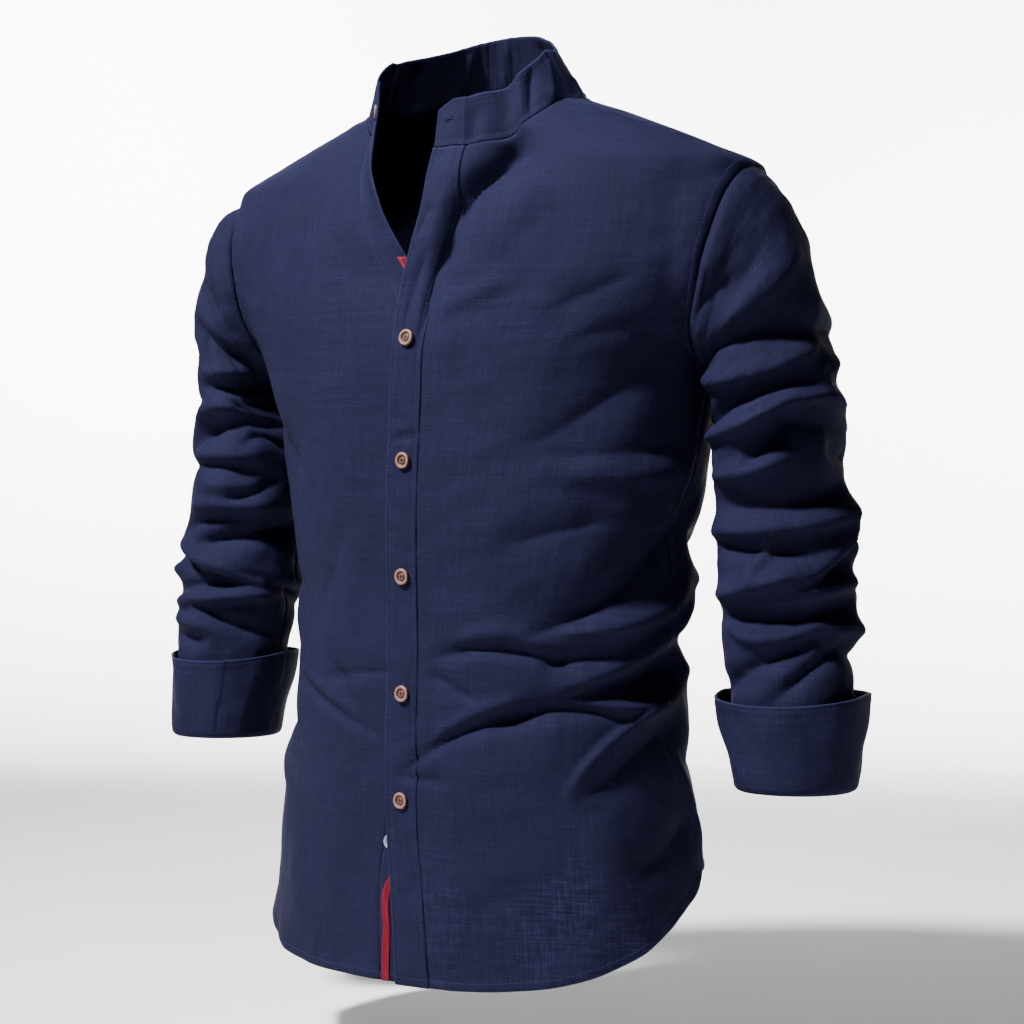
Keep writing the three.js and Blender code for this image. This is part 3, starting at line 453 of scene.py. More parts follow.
def woven(name, dark, middle, light, thread=0.42, roughness=0.85, open_from=None):
    """Plain weave with slubs: threads both ways, thicker and thinner along their length.

    Below open_from, a distance down the cloth, the weave is looser and shows its slubs more."""
    cloth = Finish(name, Specular_IOR_Level=0.08)
    flat = cloth.node("UVMap", {"uv_map": "weave"})
    edge = cloth.node("SeparateXYZ", None, {0: cloth.node("UVMap", {"uv_map": "edge"})})
    edge_up = Wire(cloth, edge.socket.node.outputs[1])

    def streaks(across, down, detail, shift):
        move = {0: flat, "Location": (shift, shift, 0), "Scale": (across, down, 1)}
        place = cloth.node("Mapping", None, move)
        sockets = {"Vector": place, "Scale": 1.0, "Detail": detail}
        return cloth.node("TexNoise", {"noise_dimensions": "2D"}, sockets) - 0.5

    fine = 1000 / thread / 1.1
    warp, weft = streaks(fine, 42, 2.0, 3.1), streaks(36, fine, 2.0, 7.7)
    long_warp, long_weft = streaks(640, 11, 1.0, 1.3), streaks(9, 700, 1.0, 5.9)
    cloud, fleck = streaks(16, 13, 3.0, 2.2), streaks(420, 420, 2.0, 9.4)
    tone = (warp + weft) * 0.34 + (long_warp + long_weft) * 0.2
    if open_from is not None:
        down = Wire(cloth, cloth.node("SeparateXYZ", None, {0: flat}).socket.node.outputs[1])
        loose = cloth.node(
            "MapRange",
            {"interpolation_type": "SMOOTHSTEP"},
            {0: down + cloud * 0.14, 1: open_from * MM, 2: (open_from + 70) * MM, 3: 0.0, 4: 1.0},
        )
        slubs = streaks(560, 60, 1.0, 8.3) + streaks(52, 600, 1.0, 0.7)
        tone = tone + slubs * (loose * (0.34 + cloud * 1.2))
    tone = tone + cloud * 0.2 + fleck * 0.22
    rim = cloth.node("Math", {"operation": "MINIMUM"}, {0: edge, 1: edge_up}) * 1000
    near_edge = {0: rim, 1: 0.0, 2: 1.8, 3: 0.22, 4: 0.0}
    worn = cloth.node("MapRange", {"interpolation_type": "SMOOTHSTEP"}, near_edge)
    share = cloth.node("MapRange", None, {0: tone + worn, 1: -0.4, 2: 0.4, 3: 0.0, 4: 1.0})
    stops = ((0.0, dark), (0.5, middle), (1.0, light))
    cloth.set("Base Color", cloth.node("ValToRGB", {"stops": stops}, {0: share}))
    cloth.set("Roughness", roughness + 0.12 * weft)
    threads = [
        cloth.node(
            "TexWave",
            {"wave_type": "BANDS", "bands_direction": way},
            {"Vector": flat, "Scale": 50 / thread, "Distortion": 0.6, "Detail": 1.0, "Detail Scale": 0.3},
        )
        for way in ("X", "Y")
    ]
    relief = (threads[0] + threads[1]) * 0.25 + (warp + weft) * 0.5 + (long_warp + long_weft) * 0.4
    fine_bump = cloth.node("Bump", None, {"Strength": 0.5, "Distance": 0.0002, "Height": relief})
    crumple = streaks(120, 95, 3.0, 4.4) + streaks(60, 260, 2.0, 6.1) * 0.4
    coarse = {"Strength": 0.4, "Distance": 0.001, "Height": crumple, "Normal": fine_bump}
    cloth.set("Normal", cloth.node("Bump", None, coarse))
    return cloth.material


NAVY = ((0.0022, 0.0021, 0.0085), (0.0055, 0.0056, 0.0210), (0.0135, 0.0140, 0.0460))
cloth_finish = woven("navy_cloth", *NAVY)
loose_finish = woven("navy_cloth_loose", *NAVY, open_from=560)


def add_object(name, mesh, material, replaced=()):
    for polygon in mesh.polygons:
        polygon.use_smooth = True
    made = bpy.data.objects.new(name, mesh)
    bpy.context.scene.collection.objects.link(made)
    mesh.materials.append(material)
    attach(made, "root")
    if replaced:
        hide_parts(*replaced)
    return made


def cloth_piece(name, points, weave, wall, replaced, material=cloth_finish):
    """A shell on a grid of points. weave gives each point its place on the cloth, both ways."""
    rows, columns = points.shape[:2]
    index = np.arange(rows * columns).reshape(rows, columns)
    quads = np.stack([index[:-1, :-1], index[1:, :-1], index[1:, 1:], index[:-1, 1:]], -1).reshape(-1, 4)
    mesh = bpy.data.meshes.new(name)
    mesh.from_pydata((points.reshape(-1, 3) * MM).tolist(), [], quads.tolist())
    near = distances(points)
    edge = np.stack([np.minimum(near["west"], near["east"]), np.minimum(near["north"], near["south"])], -1)
    for layer, values in (("weave", np.stack(weave, -1)), ("edge", edge)):
        flat = (values.reshape(-1, 2) * MM)[quads.reshape(-1)]
        mesh.uv_layers.new(name=layer).data.foreach_set("uv", flat.reshape(-1))
    made = add_object(name, mesh, material, replaced)
    shell = made.modifiers.new("wall", "SOLIDIFY")
    shell.thickness = wall * MM
    shell.offset = -1
    return made


THREAD = {"length": 2.1, "pitch": 2.9, "wide": 0.3, "high": 0.22, "sunk": 0.1}
THREAD_NAVY = ((0.0045, 0.0048, 0.017), (0.0095, 0.0105, 0.034), (0.019, 0.021, 0.062))
thread_finish = woven("navy_thread", *THREAD_NAVY, 0.3, 0.6)
thread_lines = []


def inset(points, side, distance, start=0.0, end=1.0):
    """A line on a grid of points, at a distance from one of its edges, with the outward directions."""
    lined = {
        "west": points,
        "east": points[:, ::-1],
        "north": points.swapaxes(0, 1),
        "south": points[::-1].swapaxes(0, 1),
    }[side]
    faces = {"west": 1, "east": -1, "north": -1, "south": 1}[side] * outward(lined)
    run = np.cumsum(np.linalg.norm(np.diff(lined, axis=1), axis=-1), axis=1)
    run = np.concatenate([np.zeros((len(run), 1)), run], axis=1)
    k = np.clip((run < distance).sum(axis=1) - 1, 0, run.shape[1] - 2)
    rows = np.arange(len(run))
    t = np.clip((distance - run[rows, k]) / (run[rows, k + 1] - run[rows, k]), 0, 1)[:, None]
    line = mix(lined[rows, k], lined[rows, k + 1], t)
    face = unit(mix(faces[rows, k], faces[rows, k + 1], t))
    part = slice(round(start * (len(line) - 1)), round(end * (len(line) - 1)) + 1)
    return line[part], face[part]


def sew(line, face, pitch=THREAD["pitch"]):
    """Keeps a line of stitches for the piece in hand."""
    thread_lines.append((line, face, pitch))


def add_stitching(name, length=THREAD["length"], finish=thread_finish):
    """Makes one piece of all the stitches kept so far."""
    verts, quads = [], []
    wide, high = THREAD["wide"], THREAD["high"]
    for line, face, pitch in thread_lines:
        run = np.concatenate([[0], np.cumsum(np.linalg.norm(np.diff(line, axis=0), axis=-1))])
        places = np.arange(pitch / 2, run[-1], pitch)
        for place in places:
            first = np.array([np.interp(place - length / 2, run, line[:, k]) for k in range(3)])
            last = np.array([np.interp(place + length / 2, run, line[:, k]) for k in range(3)])
            up = unit(np.array([np.interp(place, run, face[:, k]) for k in range(3)]))
            along = unit(last - first)
            side = np.cross(up, along)
            middle = (first + last) / 2
            base = len(verts)
            verts.append(first - up * THREAD["sunk"])
            for shift in (-0.3, 0.3):
                for a, b in ((1, 0), (0, 1), (-1, 0), (0, -1)):
                    verts.append(middle + along * length * shift + side * wide * a + up * (high * (b + 0.35)))
            verts.append(last - up * THREAD["sunk"])
            for k in range(4):
                n = (k + 1) % 4
                quads.append((base, base + 1 + n, base + 1 + k))
                quads.append((base + 1 + k, base + 1 + n, base + 5 + n, base + 5 + k))
                quads.append((base + 5 + k, base + 5 + n, base + 9))
    thread_lines.clear()
    mesh = bpy.data.meshes.new(name)
    mesh.from_pydata((np.array(verts) * MM).tolist(), [], quads)
    for layer in ("weave", "edge"):
        coords = np.array([verts[v][:2] for polygon in quads for v in polygon]) * MM
        mesh.uv_layers.new(name=layer).data.foreach_set("uv", coords.reshape(-1))
    return add_object(name, mesh, finish)


def front_places(sign, band):
    i, j = lattice(ROWS["neck"] + ROWS["band"], COLUMNS["front"])
    rows = ROWS["neck"] + ROWS["band"]

    def inner(i):
        neck_phi, neck_z = neck_front(mix(SHOULDER_SEAM_AT, 1, np.minimum(i / ROWS["neck"], 1)), sign)
        z = band_z(band, np.maximum(i - ROWS["neck"], 0) / ROWS["band"], sign)
        at_neck = i <= ROWS["neck"]
        edge = read(band, "seam", z) - (TUCK if sign > 0 else 0)
        return np.where(at_neck, neck_phi, phi_of_x(edge, z)), np.where(at_neck, neck_z, z)

    def outer(i):
        arm_phi, arm_z = armhole(mix(SHOULDER_SEAM_TURN, 180, np.minimum(i / ROWS["arm_front"], 1)), sign)
        t = (i - ROWS["arm_front"]) / ROWS["below"]
        on_arm = i <= ROWS["arm_front"]
        side_z = mix(UNDERARM_Z, HEM["side"], t)
        side_phi = sign * read(SIDE_SEAM, "phi", side_z)
        return np.where(on_arm, arm_phi, side_phi), np.where(on_arm, arm_z, side_z)

    t = j / COLUMNS["front"] if sign > 0 else 1 - j / COLUMNS["front"]
    (phi0, z0), (phi1, z1) = inner(i), outer(i)
    (low_phi0, low_z0), (low_phi1, low_z1) = inner(rows + 0 * i), outer(rows + 0 * i)
    low_phi, low_z = mix(low_phi0, low_phi1, t), mix(low_z0, low_z1, t)
    return mix(phi0, phi1, t), mix(z0, z1, t) + (hem_z(low_phi) - low_z) * (i / rows) ** EDGE_FADE


ARMHOLE_FILL = table(
    "turn out",
    (-180, 0),
    (-120, 0),
    (-60, 3),
    (10, 4),
    (50, 8),
    (100, 9),
    (150, 2),
    (180, 0),
)
FILL_REACH = 42


def fill_armhole(points, turn, distance):
    """Brings the cloth beside the armhole forward, so that body and sleeve run into one another."""
    moved = points.copy()
    moved[..., 1] -= np.sign(np.sin(np.radians(turn + 30))) * read(ARMHOLE_FILL, "out", turn) * (
        1 - ease(distance / FILL_REACH)
    )
    return moved


def front_piece(name, sign, band, seed):
    phi, z = front_places(sign, band)
    away = (sign * phi - sign * phi_of_x(read(band, "seam", z), z)) / BAND_EASE
    out = read(band, "out", z) - (BAND_STEP if sign > 0 else 0)
    points = body(phi, z, out * (1 - ease(away)))
    near = distances(points)
    armside, bandside = ("east", "west") if sign > 0 else ("west", "east")
    i = lattice(ROWS["neck"] + ROWS["band"], COLUMNS["front"])[0]
    turn = mix(SHOULDER_SEAM_TURN, 180, np.minimum(i / ROWS["arm_front"], 1))
    points = fill_armhole(points, turn, near[armside])
    along = girth(phi)
    relief = 0.55 * waves(along, z, seed, 36, 110) + 0.16 * waves(along, z, seed + 1, 14, 30)
    relief *= ease(near[bandside] / 30) * ease(near[armside] / 20)
    relief += seam(near[armside], z, seed + 2, 8)
    relief += seam(near["north"], along, seed + 3, 2, 0.1) * ease(near[bandside] / 8)
    relief += seam(near["south"], along, seed + 4, 6.5, 0.5)
    relief += waves(along, 0 * z, seed + 5, 30, 80, 6) * np.exp(-((near["south"] / 26) ** 2))
    if sign > 0:
        relief += -0.8 * np.exp(-((near[bandside] / 2.5) ** 2))
    points = raised(points, relief)
    cloth = cloth_piece(name, points, (along, -z), WALL, [name], loose_finish if sign > 0 else cloth_finish)
    whole = ROWS["neck"] + ROWS["band"]
    armhole_end = ROWS["arm_front"] / whole
    sew(*inset(points, armside, 8, 0.0, armhole_end))
    sew(*inset(points, armside, 5.5, armhole_end, 1.0))
    sew(*inset(points, armside, 1.2, armhole_end, 1.0))
    sew(*inset(points, "south", 6.2, 0.0, 1.0))
    sew(*inset(points, "north", 1.3, 0.0, 1.0))
    stitching = add_stitching(name + "_stitching")
    return points


left_front = front_piece("front_left", 1, LEFT_BAND, 11)
right_front = front_piece("front_right", -1, RIGHT_BAND, 23)

# Front bands: straight strips of two layers with interfacing, folded and edge-stitched. The left one
# carries the buttonholes and lies over the right one, which turns up beside the open neck.
BAND_WALL = 1.9
BAND_WIDE = 28
BAND_COLUMNS = 2
# Creases of the left band, measured from its seam towards its free edge.
BAND_FOLDS = table(
    "across0 z0 across1 z1 bow out wide0 wide1 steep",
    (12, -134, 19, -192, 0, -3.4, 5, 3.5, 0),
    (18, -50, 20, -62, 0, -1.8, 5, 5, 0),
    (20, -96, 23, -116, 0, -2.4, 4, 4, 0),
    (8, -72, 16, -88, 0, -1.2, 5, 5, 0),
    (2, -271, 26, -274, 0, -1.3, 2.4, 2.4, 0),
    (5, -264, 22, -265, 0, 0.8, 3, 3, 0),
    (4, -330, 24, -322, 0, -0.8, 4, 4, 0),
    (3, -498, 25, -507, 0, -0.8, 4, 4, 0),
    (5, -610, 22, -622, 0, -0.9, 4, 4, 0),
)


def band_surface(band, t, z):
    x = mix(read(band, "seam", z), read(band, "free", z), t)
    return body(phi_of_x(x, z), z, mix(read(band, "out", z), read(band, "tip", z), t**2))


def band_piece(name, sign, band, seed):
    i, j = lattice(ROWS["band"], BAND_COLUMNS)
    t = 1 - j / BAND_COLUMNS if sign > 0 else j / BAND_COLUMNS
    z = band_z(band, i / ROWS["band"], sign)
    points = band_surface(band, t, z)
    near = distances(points)
    edge = np.minimum(near["west"], near["east"])
    relief = 0.28 * waves(BAND_WIDE * t, z, seed, 20, 60) + 0.12 * waves(BAND_WIDE * t, z, seed + 1, 9, 18)
    relief *= 1 if sign > 0 else ease(t * 1.5)
    if sign > 0:
        relief += -0.8 * np.exp(-(((edge - 4) / 1.3) ** 2)) - 0.5 * np.exp(-((edge / 0.9) ** 2))
        relief += folded(BAND_FOLDS, BAND_WIDE * t, z, lambda across: across, 1000)
    points = raised(points, relief)
    band = cloth_piece(name, points, (BAND_WIDE * t, -z), BAND_WALL, [name])
    for side in ("west", "east") if sign > 0 else ("east",):
        sew(*inset(points, side, 4.2))
    sew(*inset(points, "south", 6.2))
    stitching = add_stitching(name + "_stitching")
    return points


left_band = band_piece("band_left", 1, LEFT_BAND, 31)
right_band = band_piece("band_right", -1, RIGHT_BAND, 37)

# Yoke: one piece over both shoulders and behind the neck, top-stitched to the fronts and the back.
YOKE_SEAM_TURN = -56
NECK_BACK_Z = 18
YOKE_SEAM_Z = -86
YOKE_COLUMNS = ROWS["yoke"] * 2 + COLUMNS["back"]
corner_phi, corner_z = armhole(YOKE_SEAM_TURN, 1)
neck_start = neck_front(SHOULDER_SEAM_AT, 1)
neck_end = neck_front(SHOULDER_SEAM_AT, -1)


def neck_back_z(phi):
    end_phi = np.where(phi < 180, neck_start[0], -neck_end[0])
    end_z = np.where(phi < 180, neck_start[1], neck_end[1])
    return mix(NECK_BACK_Z, end_z, ease(np.abs(180 - phi) / (180 - end_phi)))


def yoke_seam(t):
    phi = mix(corner_phi, 360 - corner_phi, t)
    return phi, mix(YOKE_SEAM_Z, corner_z, np.abs(2 * t - 1) ** EDGE_FADE)


def yoke_outer(j):
    turned = np.where(j > YOKE_COLUMNS / 2, YOKE_COLUMNS - j, j)
    arm_phi, arm_z = armhole(mix(SHOULDER_SEAM_TURN, YOKE_SEAM_TURN, np.minimum(turned / ROWS["yoke"], 1)), 1)
    seam_phi, seam_z = yoke_seam(np.maximum(turned - ROWS["yoke"], 0) / COLUMNS["back"])
    on_arm = turned <= ROWS["yoke"]
    phi, z = np.where(on_arm, arm_phi, seam_phi), np.where(on_arm, arm_z, seam_z)
    return np.where(j > YOKE_COLUMNS / 2, 360 - phi, phi), z


def yoke_piece():
    i, j = lattice(COLUMNS["front"], YOKE_COLUMNS)
    neck_phi = mix(neck_start[0], 360 + neck_end[0], j / YOKE_COLUMNS)
    outer_phi, outer_z = yoke_outer(j)
    t = i / COLUMNS["front"]
    phi, z = mix(neck_phi, outer_phi, t), mix(neck_back_z(neck_phi), outer_z, t)
    points = body(phi, z)
    on_arm = np.minimum(np.minimum(j, YOKE_COLUMNS - j) / ROWS["yoke"], 1)
    arm_turn = mix(SHOULDER_SEAM_TURN, YOKE_SEAM_TURN, on_arm)
    points = fill_armhole(points, arm_turn, distances(points)["south"])
    near = distances(points)
    along = girth(phi)
    relief = 0.45 * waves(along, z, 41, 36, 100) * ease(near["north"] / 15)
    relief += seam(near["west"], near["north"], 42, 6) + seam(near["east"], near["north"], 43, 6)
    relief += seam(near["south"], along, 44, 6) + seam(near["north"], along, 45, 2, 0.1)
    points = raised(points, relief)
    made = cloth_piece("yoke", points, (along, -z), WALL, ["yoke"])
    for side in ("west", "east", "south"):
        sew(*inset(points, side, 1.3))
        sew(*inset(points, side, 6.5))
    add_stitching("yoke_stitching")
    return points


yoke = yoke_piece()

# Back: one piece from the yoke's seam to the shirt-tail hem.
BACK_ROWS = ROWS["arm_back"] + ROWS["below"]


def back_piece():
    i, j = lattice(BACK_ROWS, COLUMNS["back"], 7)
    t = j / COLUMNS["back"]
    down = i / BACK_ROWS
    arm_phi, arm_z = armhole(mix(YOKE_SEAM_TURN, -180, np.minimum(i / ROWS["arm_back"], 1)), 1)
    on_arm = i <= ROWS["arm_back"]
    side_z = mix(UNDERARM_Z, HEM["side"], (i - ROWS["arm_back"]) / ROWS["below"])
    side_phi = np.where(on_arm, arm_phi, read(SIDE_SEAM, "phi", side_z))
    side_z = np.where(on_arm, arm_z, side_z)
    phi = mix(side_phi, 360 - side_phi, t)
    inward = 1 - np.abs(2 * t - 1)
    top = yoke_seam(t)[1] - mix(corner_z, YOKE_SEAM_Z, inward)
    low = hem_z(mix(HEM_CORNER, 360 - HEM_CORNER, t)) - mix(HEM["side"], HEM["back"], inward)
    level = mix(side_z, mix(YOKE_SEAM_Z, HEM["back"], down), inward)
    z = level + top * (1 - down) ** EDGE_FADE + low * down**EDGE_FADE
    z += TUCK * np.maximum(0, 1 - i) * ease(inward * 8)
    points = body(phi, z)
    near = distances(points)
    along = girth(phi)
    sides = np.minimum(near["west"], near["east"])
    relief = (0.6 * waves(along, z, 51, 40, 120) + 0.16 * waves(along, z, 52, 14, 30)) * ease(sides / 20)
    relief += seam(sides, z, 53, 2, 0.1) + seam(near["north"], along, 54, 2, 0.1)
    relief += seam(near["south"], along, 55, 6.5, 0.5)
    relief += waves(along, 0 * z, 56, 30, 80, 6) * np.exp(-((near["south"] / 26) ** 2))
    points = raised(points, relief)
    made = cloth_piece("back", points, (along, -z), WALL, ["back"])
    arm_end = ROWS["arm_back"] / BACK_ROWS
    for side in ("west", "east"):
        sew(*inset(points, side, 8, 0.0, arm_end))
    sew(*inset(points, "south", 6.2))
    add_stitching("back_stitching")
    return points


back = back_piece()

# Collar band: a stiff standing band of two layers, round at its ends, stitched all round its edge
# and twice along the neck seam. Its left end has the buttonhole, its right end the button.
COLLAR = table(
    "at lean up",
    (0, 7, 29),
    (0.012, 7.5, 34.5),
    (0.03, 8, 38),
    (0.07, 9.5, 39.5),
    (0.2, 18, 40),
    (0.3, 25, 39),
    (0.4, 20, 42),
    (0.5, 12, 44),
    (0.68, 22, 44),
    (0.85, 13, 40),
    (0.94, 6, 39),
    (0.98, 4, 37),
    (1, 4, 31),
)
COLLAR_AXIS_Y = -6
COLLAR_FOLDS = table(
    "at0 up0 at1 up1 bow out wide0 wide1 steep",
    (0.052, 0, 0.056, 30, 0, -1.5, 3, 4, 0),
    (0.118, 4, 0.132, 38, 0, -2.4, 4, 6, 0),
    (0.16, 0, 0.172, 34, 0, 1.4, 6, 6, 0),
    (0.215, 2, 0.285, 40, 0, -2.8, 5, 7, 0),
    (0.26, 0, 0.27, 20, 0, 1.4, 6, 6, 0),
    (0.36, 4, 0.35, 40, 0, -1.8, 5, 7, 0),
    (0.44, 0, 0.45, 36, 0, 1.2, 8, 8, 0),
    (0.53, 6, 0.52, 40, 0, -1.6, 6, 7, 0),
    (0.62, 2, 0.6, 38, 0, -2.4, 5, 7, 0),
    (0.7, 0, 0.72, 38, 0, 1.6, 7, 8, 0),
    (0.76, 4, 0.79, 38, 0, -2.2, 5, 7, 0),
    (0.86, 2, 0.88, 34, 0, -1.6, 5, 5, 0),
)
COLLAR_DEEP = 2.1
neck_ring = np.concatenate(
    [
        left_band[0],
        left_front[: ROWS["neck"] * FINE, 0][::-1],
        yoke[0][1:-1],
        right_front[: ROWS["neck"] * FINE, -1],
        right_band[0],
    ]
)
ring_steps = np.concatenate([[0], np.cumsum(np.linalg.norm(np.diff(neck_ring, axis=0), axis=-1))])
RING = ring_steps[-1]


def collar_piece():
    up = np.linspace(1, 0, 17)[:, None]
    at = np.linspace(0, 1, len(neck_ring))
    inward = unit(np.stack([-neck_ring[:, 0], COLLAR_AXIS_Y - neck_ring[:, 1], 0 * neck_ring[:, 0]], -1))
    points = neck_ring + inward * (read(COLLAR, "lean", at) * up)[..., None]
    points[..., 2] += read(COLLAR, "up", at) * up
    high = 40 * up + 0 * at
    run = ring_steps + 0 * up
    near = distances(points)
    relief = folded(COLLAR_FOLDS, at * RING + 0 * up, high, lambda share: share * RING, 4 * RING)
    relief *= COLLAR_DEEP * ease(near["south"] / 6) * ease(np.minimum(near["west"], near["east"]) / 6)
    relief *= 0.25 + 0.75 * ease(near["north"] / 12)
    relief += 0.5 * waves(run, high, 61, 24, 70) * ease(near["south"] / 10)
    edge = np.minimum(np.minimum(near["west"], near["east"]), near["north"])
    relief += -0.85 * np.exp(-(((edge - 4.5) / 1.3) ** 2)) - 0.5 * np.exp(-((edge / 1.0) ** 2))
    relief += seam(near["south"], run, 62, 5, 0.25) - 0.85 * np.exp(-(((near["south"] - 5) / 1.3) ** 2))
    points = raised(points, relief)
    made = cloth_piece("collar", points, (run, 40 - high), BAND_WALL, ["collar"])
    for side in ("north", "west", "east"):
        sew(*inset(points, side, 4.6, 0.0, 1.0))
    sew(*inset(points, "south", 1.4))
    sew(*inset(points, "south", 4.6))
    add_stitching("collar_stitching")
    return points


collar = collar_piece()

# Sleeves: cut in one piece each, set into the armhole and closed by an underarm seam. Pushed up
# on a bent arm, the cloth lies in many soft folds, deepest at the elbow.
SLEEVE = table(
    "at out_x out_z in_x in_z y deep",
    (0, 228, -66, 194, -222, 14, 54),
    (0.05, 239, -76, 200, -224, 14, 55),
    (0.11, 252, -93, 203, -228, 14, 56),
    (0.18, 266, -120, 202, -235, 14, 56),
    (0.27, 279, -160, 199, -246, 15, 56),
    (0.37, 287, -208, 199, -264, 17, 56),
    (0.48, 296, -262, 199, -292, 20, 55),
    (0.62, 301, -336, 201, -348, 22, 54),
    (0.78, 307, -412, 205, -416, 20, 50),
    (0.9, 307, -464, 214, -464, 14, 45),
    (1, 304, -520, 226, -520, 11, 41),
)
RIGHT_SLEEVE = table(
    "at x y z outer",
    (0, 0, 0, 0, 0),
    (0.04, 0, 0, 0, 13),
    (0.1, 3, 0, 0, 7),
    (0.2, 3, 0, 0, 0),
    (0.42, -10, 0, 2, 0),
    (0.6, -8, 2, 6, 0),
    (0.8, -2, 3, 12, 0),
    (1, -4, 3, 16, 0),
)
SLEEVE_SQUARE = 2.1
ARMHOLE_EASE = 0.3
SLEEVE_ROUND = 335
SLEEVE_FADE = {"top": 0.07, "bottom": 0.08}
SLEEVE_LENGTH = 455
SLEEVE_HEAD = {"out": 10, "reach": 80}
# Folds of the sleeves: the angle is 0 outside, 90 in front, 180 inside and 270 behind.
LEFT_FOLDS = table(
    "turn0 z0 turn1 z1 bow out wide0 wide1 steep",
    (146, -208, 84, -158, 2, -3.2, 5, 8, 0),
    (112, -174, 92, -150, 0, -2.2, 5, 6, 0),
    (160, -216, 30, -144, -8, 6.0, 6, 14, 0.35),
    (164, -222, 40, -190, 4, -7.0, 5, 13, 0.2),
    (44, -194, -26, -192, 0, -4.0, 10, 8, 0),
    (168, -228, 22, -208, -12, 5.0, 6, 10, 0.2),
    (152, -264, 42, -230, 0, -6.5, 8, 9, 0.3),
    (152, -272, 58, -247, -6, 4.8, 7, 8, 0.2),
    (92, -266, -14, -250, 12, 5.4, 6, 8, 0.6),
    (98, -294, 50, -257, 0, -6.2, 7, 9, 0),
    (50, -262, -20, -266, 0, -3.0, 9, 8, 0),
    (138, -302, 62, -288, -4, 4.4, 7, 8, 0.2),
    (134, -322, -6, -309, -8, -8.0, 11, 14, 0),
    (154, -344, -22, -325, -5, 5.2, 7, 10, 0.3),
    (-18, -334, 72, -384, -6, 5.6, 9, 6, 0.6),
    (138, -354, 44, -360, 0, -5.4, 7, 8, 0),
    (82, -352, 102, -380, 0, 2.6, 5, 5, 0),
    (-20, -352, 34, -376, 0, -4.8, 9, 7, 0),
    (140, -391, 56, -369, -4, 4.8, 7, 7, 0.2),
    (70, -391, -12, -381, 0, 4.2, 6, 7, 0.3),
    (144, -406, 10, -398, -6, -8.5, 8, 12, 0),
    (132, -412, 44, -411, -10, 4.6, 6, 8, 0),
    (48, -411, -22, -418, 0, 4.4, 8, 8, 0.2),
    (152, -460, 48, -422, 0, -5.4, 6, 8, 0),
    (86, -466, 10, -424, 2, -5.0, 6, 8, 0),
    (10, -432, -50, -440, 0, -4.0, 8, 8, 0),
    (250, -200, 332, -148, 0, -6, 9, 14, 0),
    (246, -222, 326, -178, 0, 4, 8, 10, 0.2),
    (236, -262, 332, -232, 0, -6, 8, 12, 0),
    (232, -284, 320, -262, 0, 4.5, 8, 9, 0.3),
    (216, -318, 322, -300, 5, -7, 9, 12, 0),
    (222, -340, 318, -330, 3, 4.5, 7, 9, 0.3),
    (228, -366, 332, -374, 0, -6.5, 10, 10, 0),
    (222, -388, 320, -392, 0, 4.2, 7, 8, 0.2),
    (218, -414, 322, -404, 0, -6.5, 9, 11, 0),
    (224, -446, 318, -436, 0, -4.5, 8, 9, 0),
    (188, -256, 232, -240, 0, -4, 8, 8, 0),
    (186, -300, 226, -306, 0, -4, 8, 8, 0),
    (186, -372, 230, -352, 0, -4, 8, 8, 0),
    (338, -214, 384, -228, 0, 3.4, 8, 8, 0),
    (330, -288, 376, -280, 0, -4.2, 8, 9, 0),
    (332, -352, 366, -362, 0, 3.2, 8, 8, 0),
)
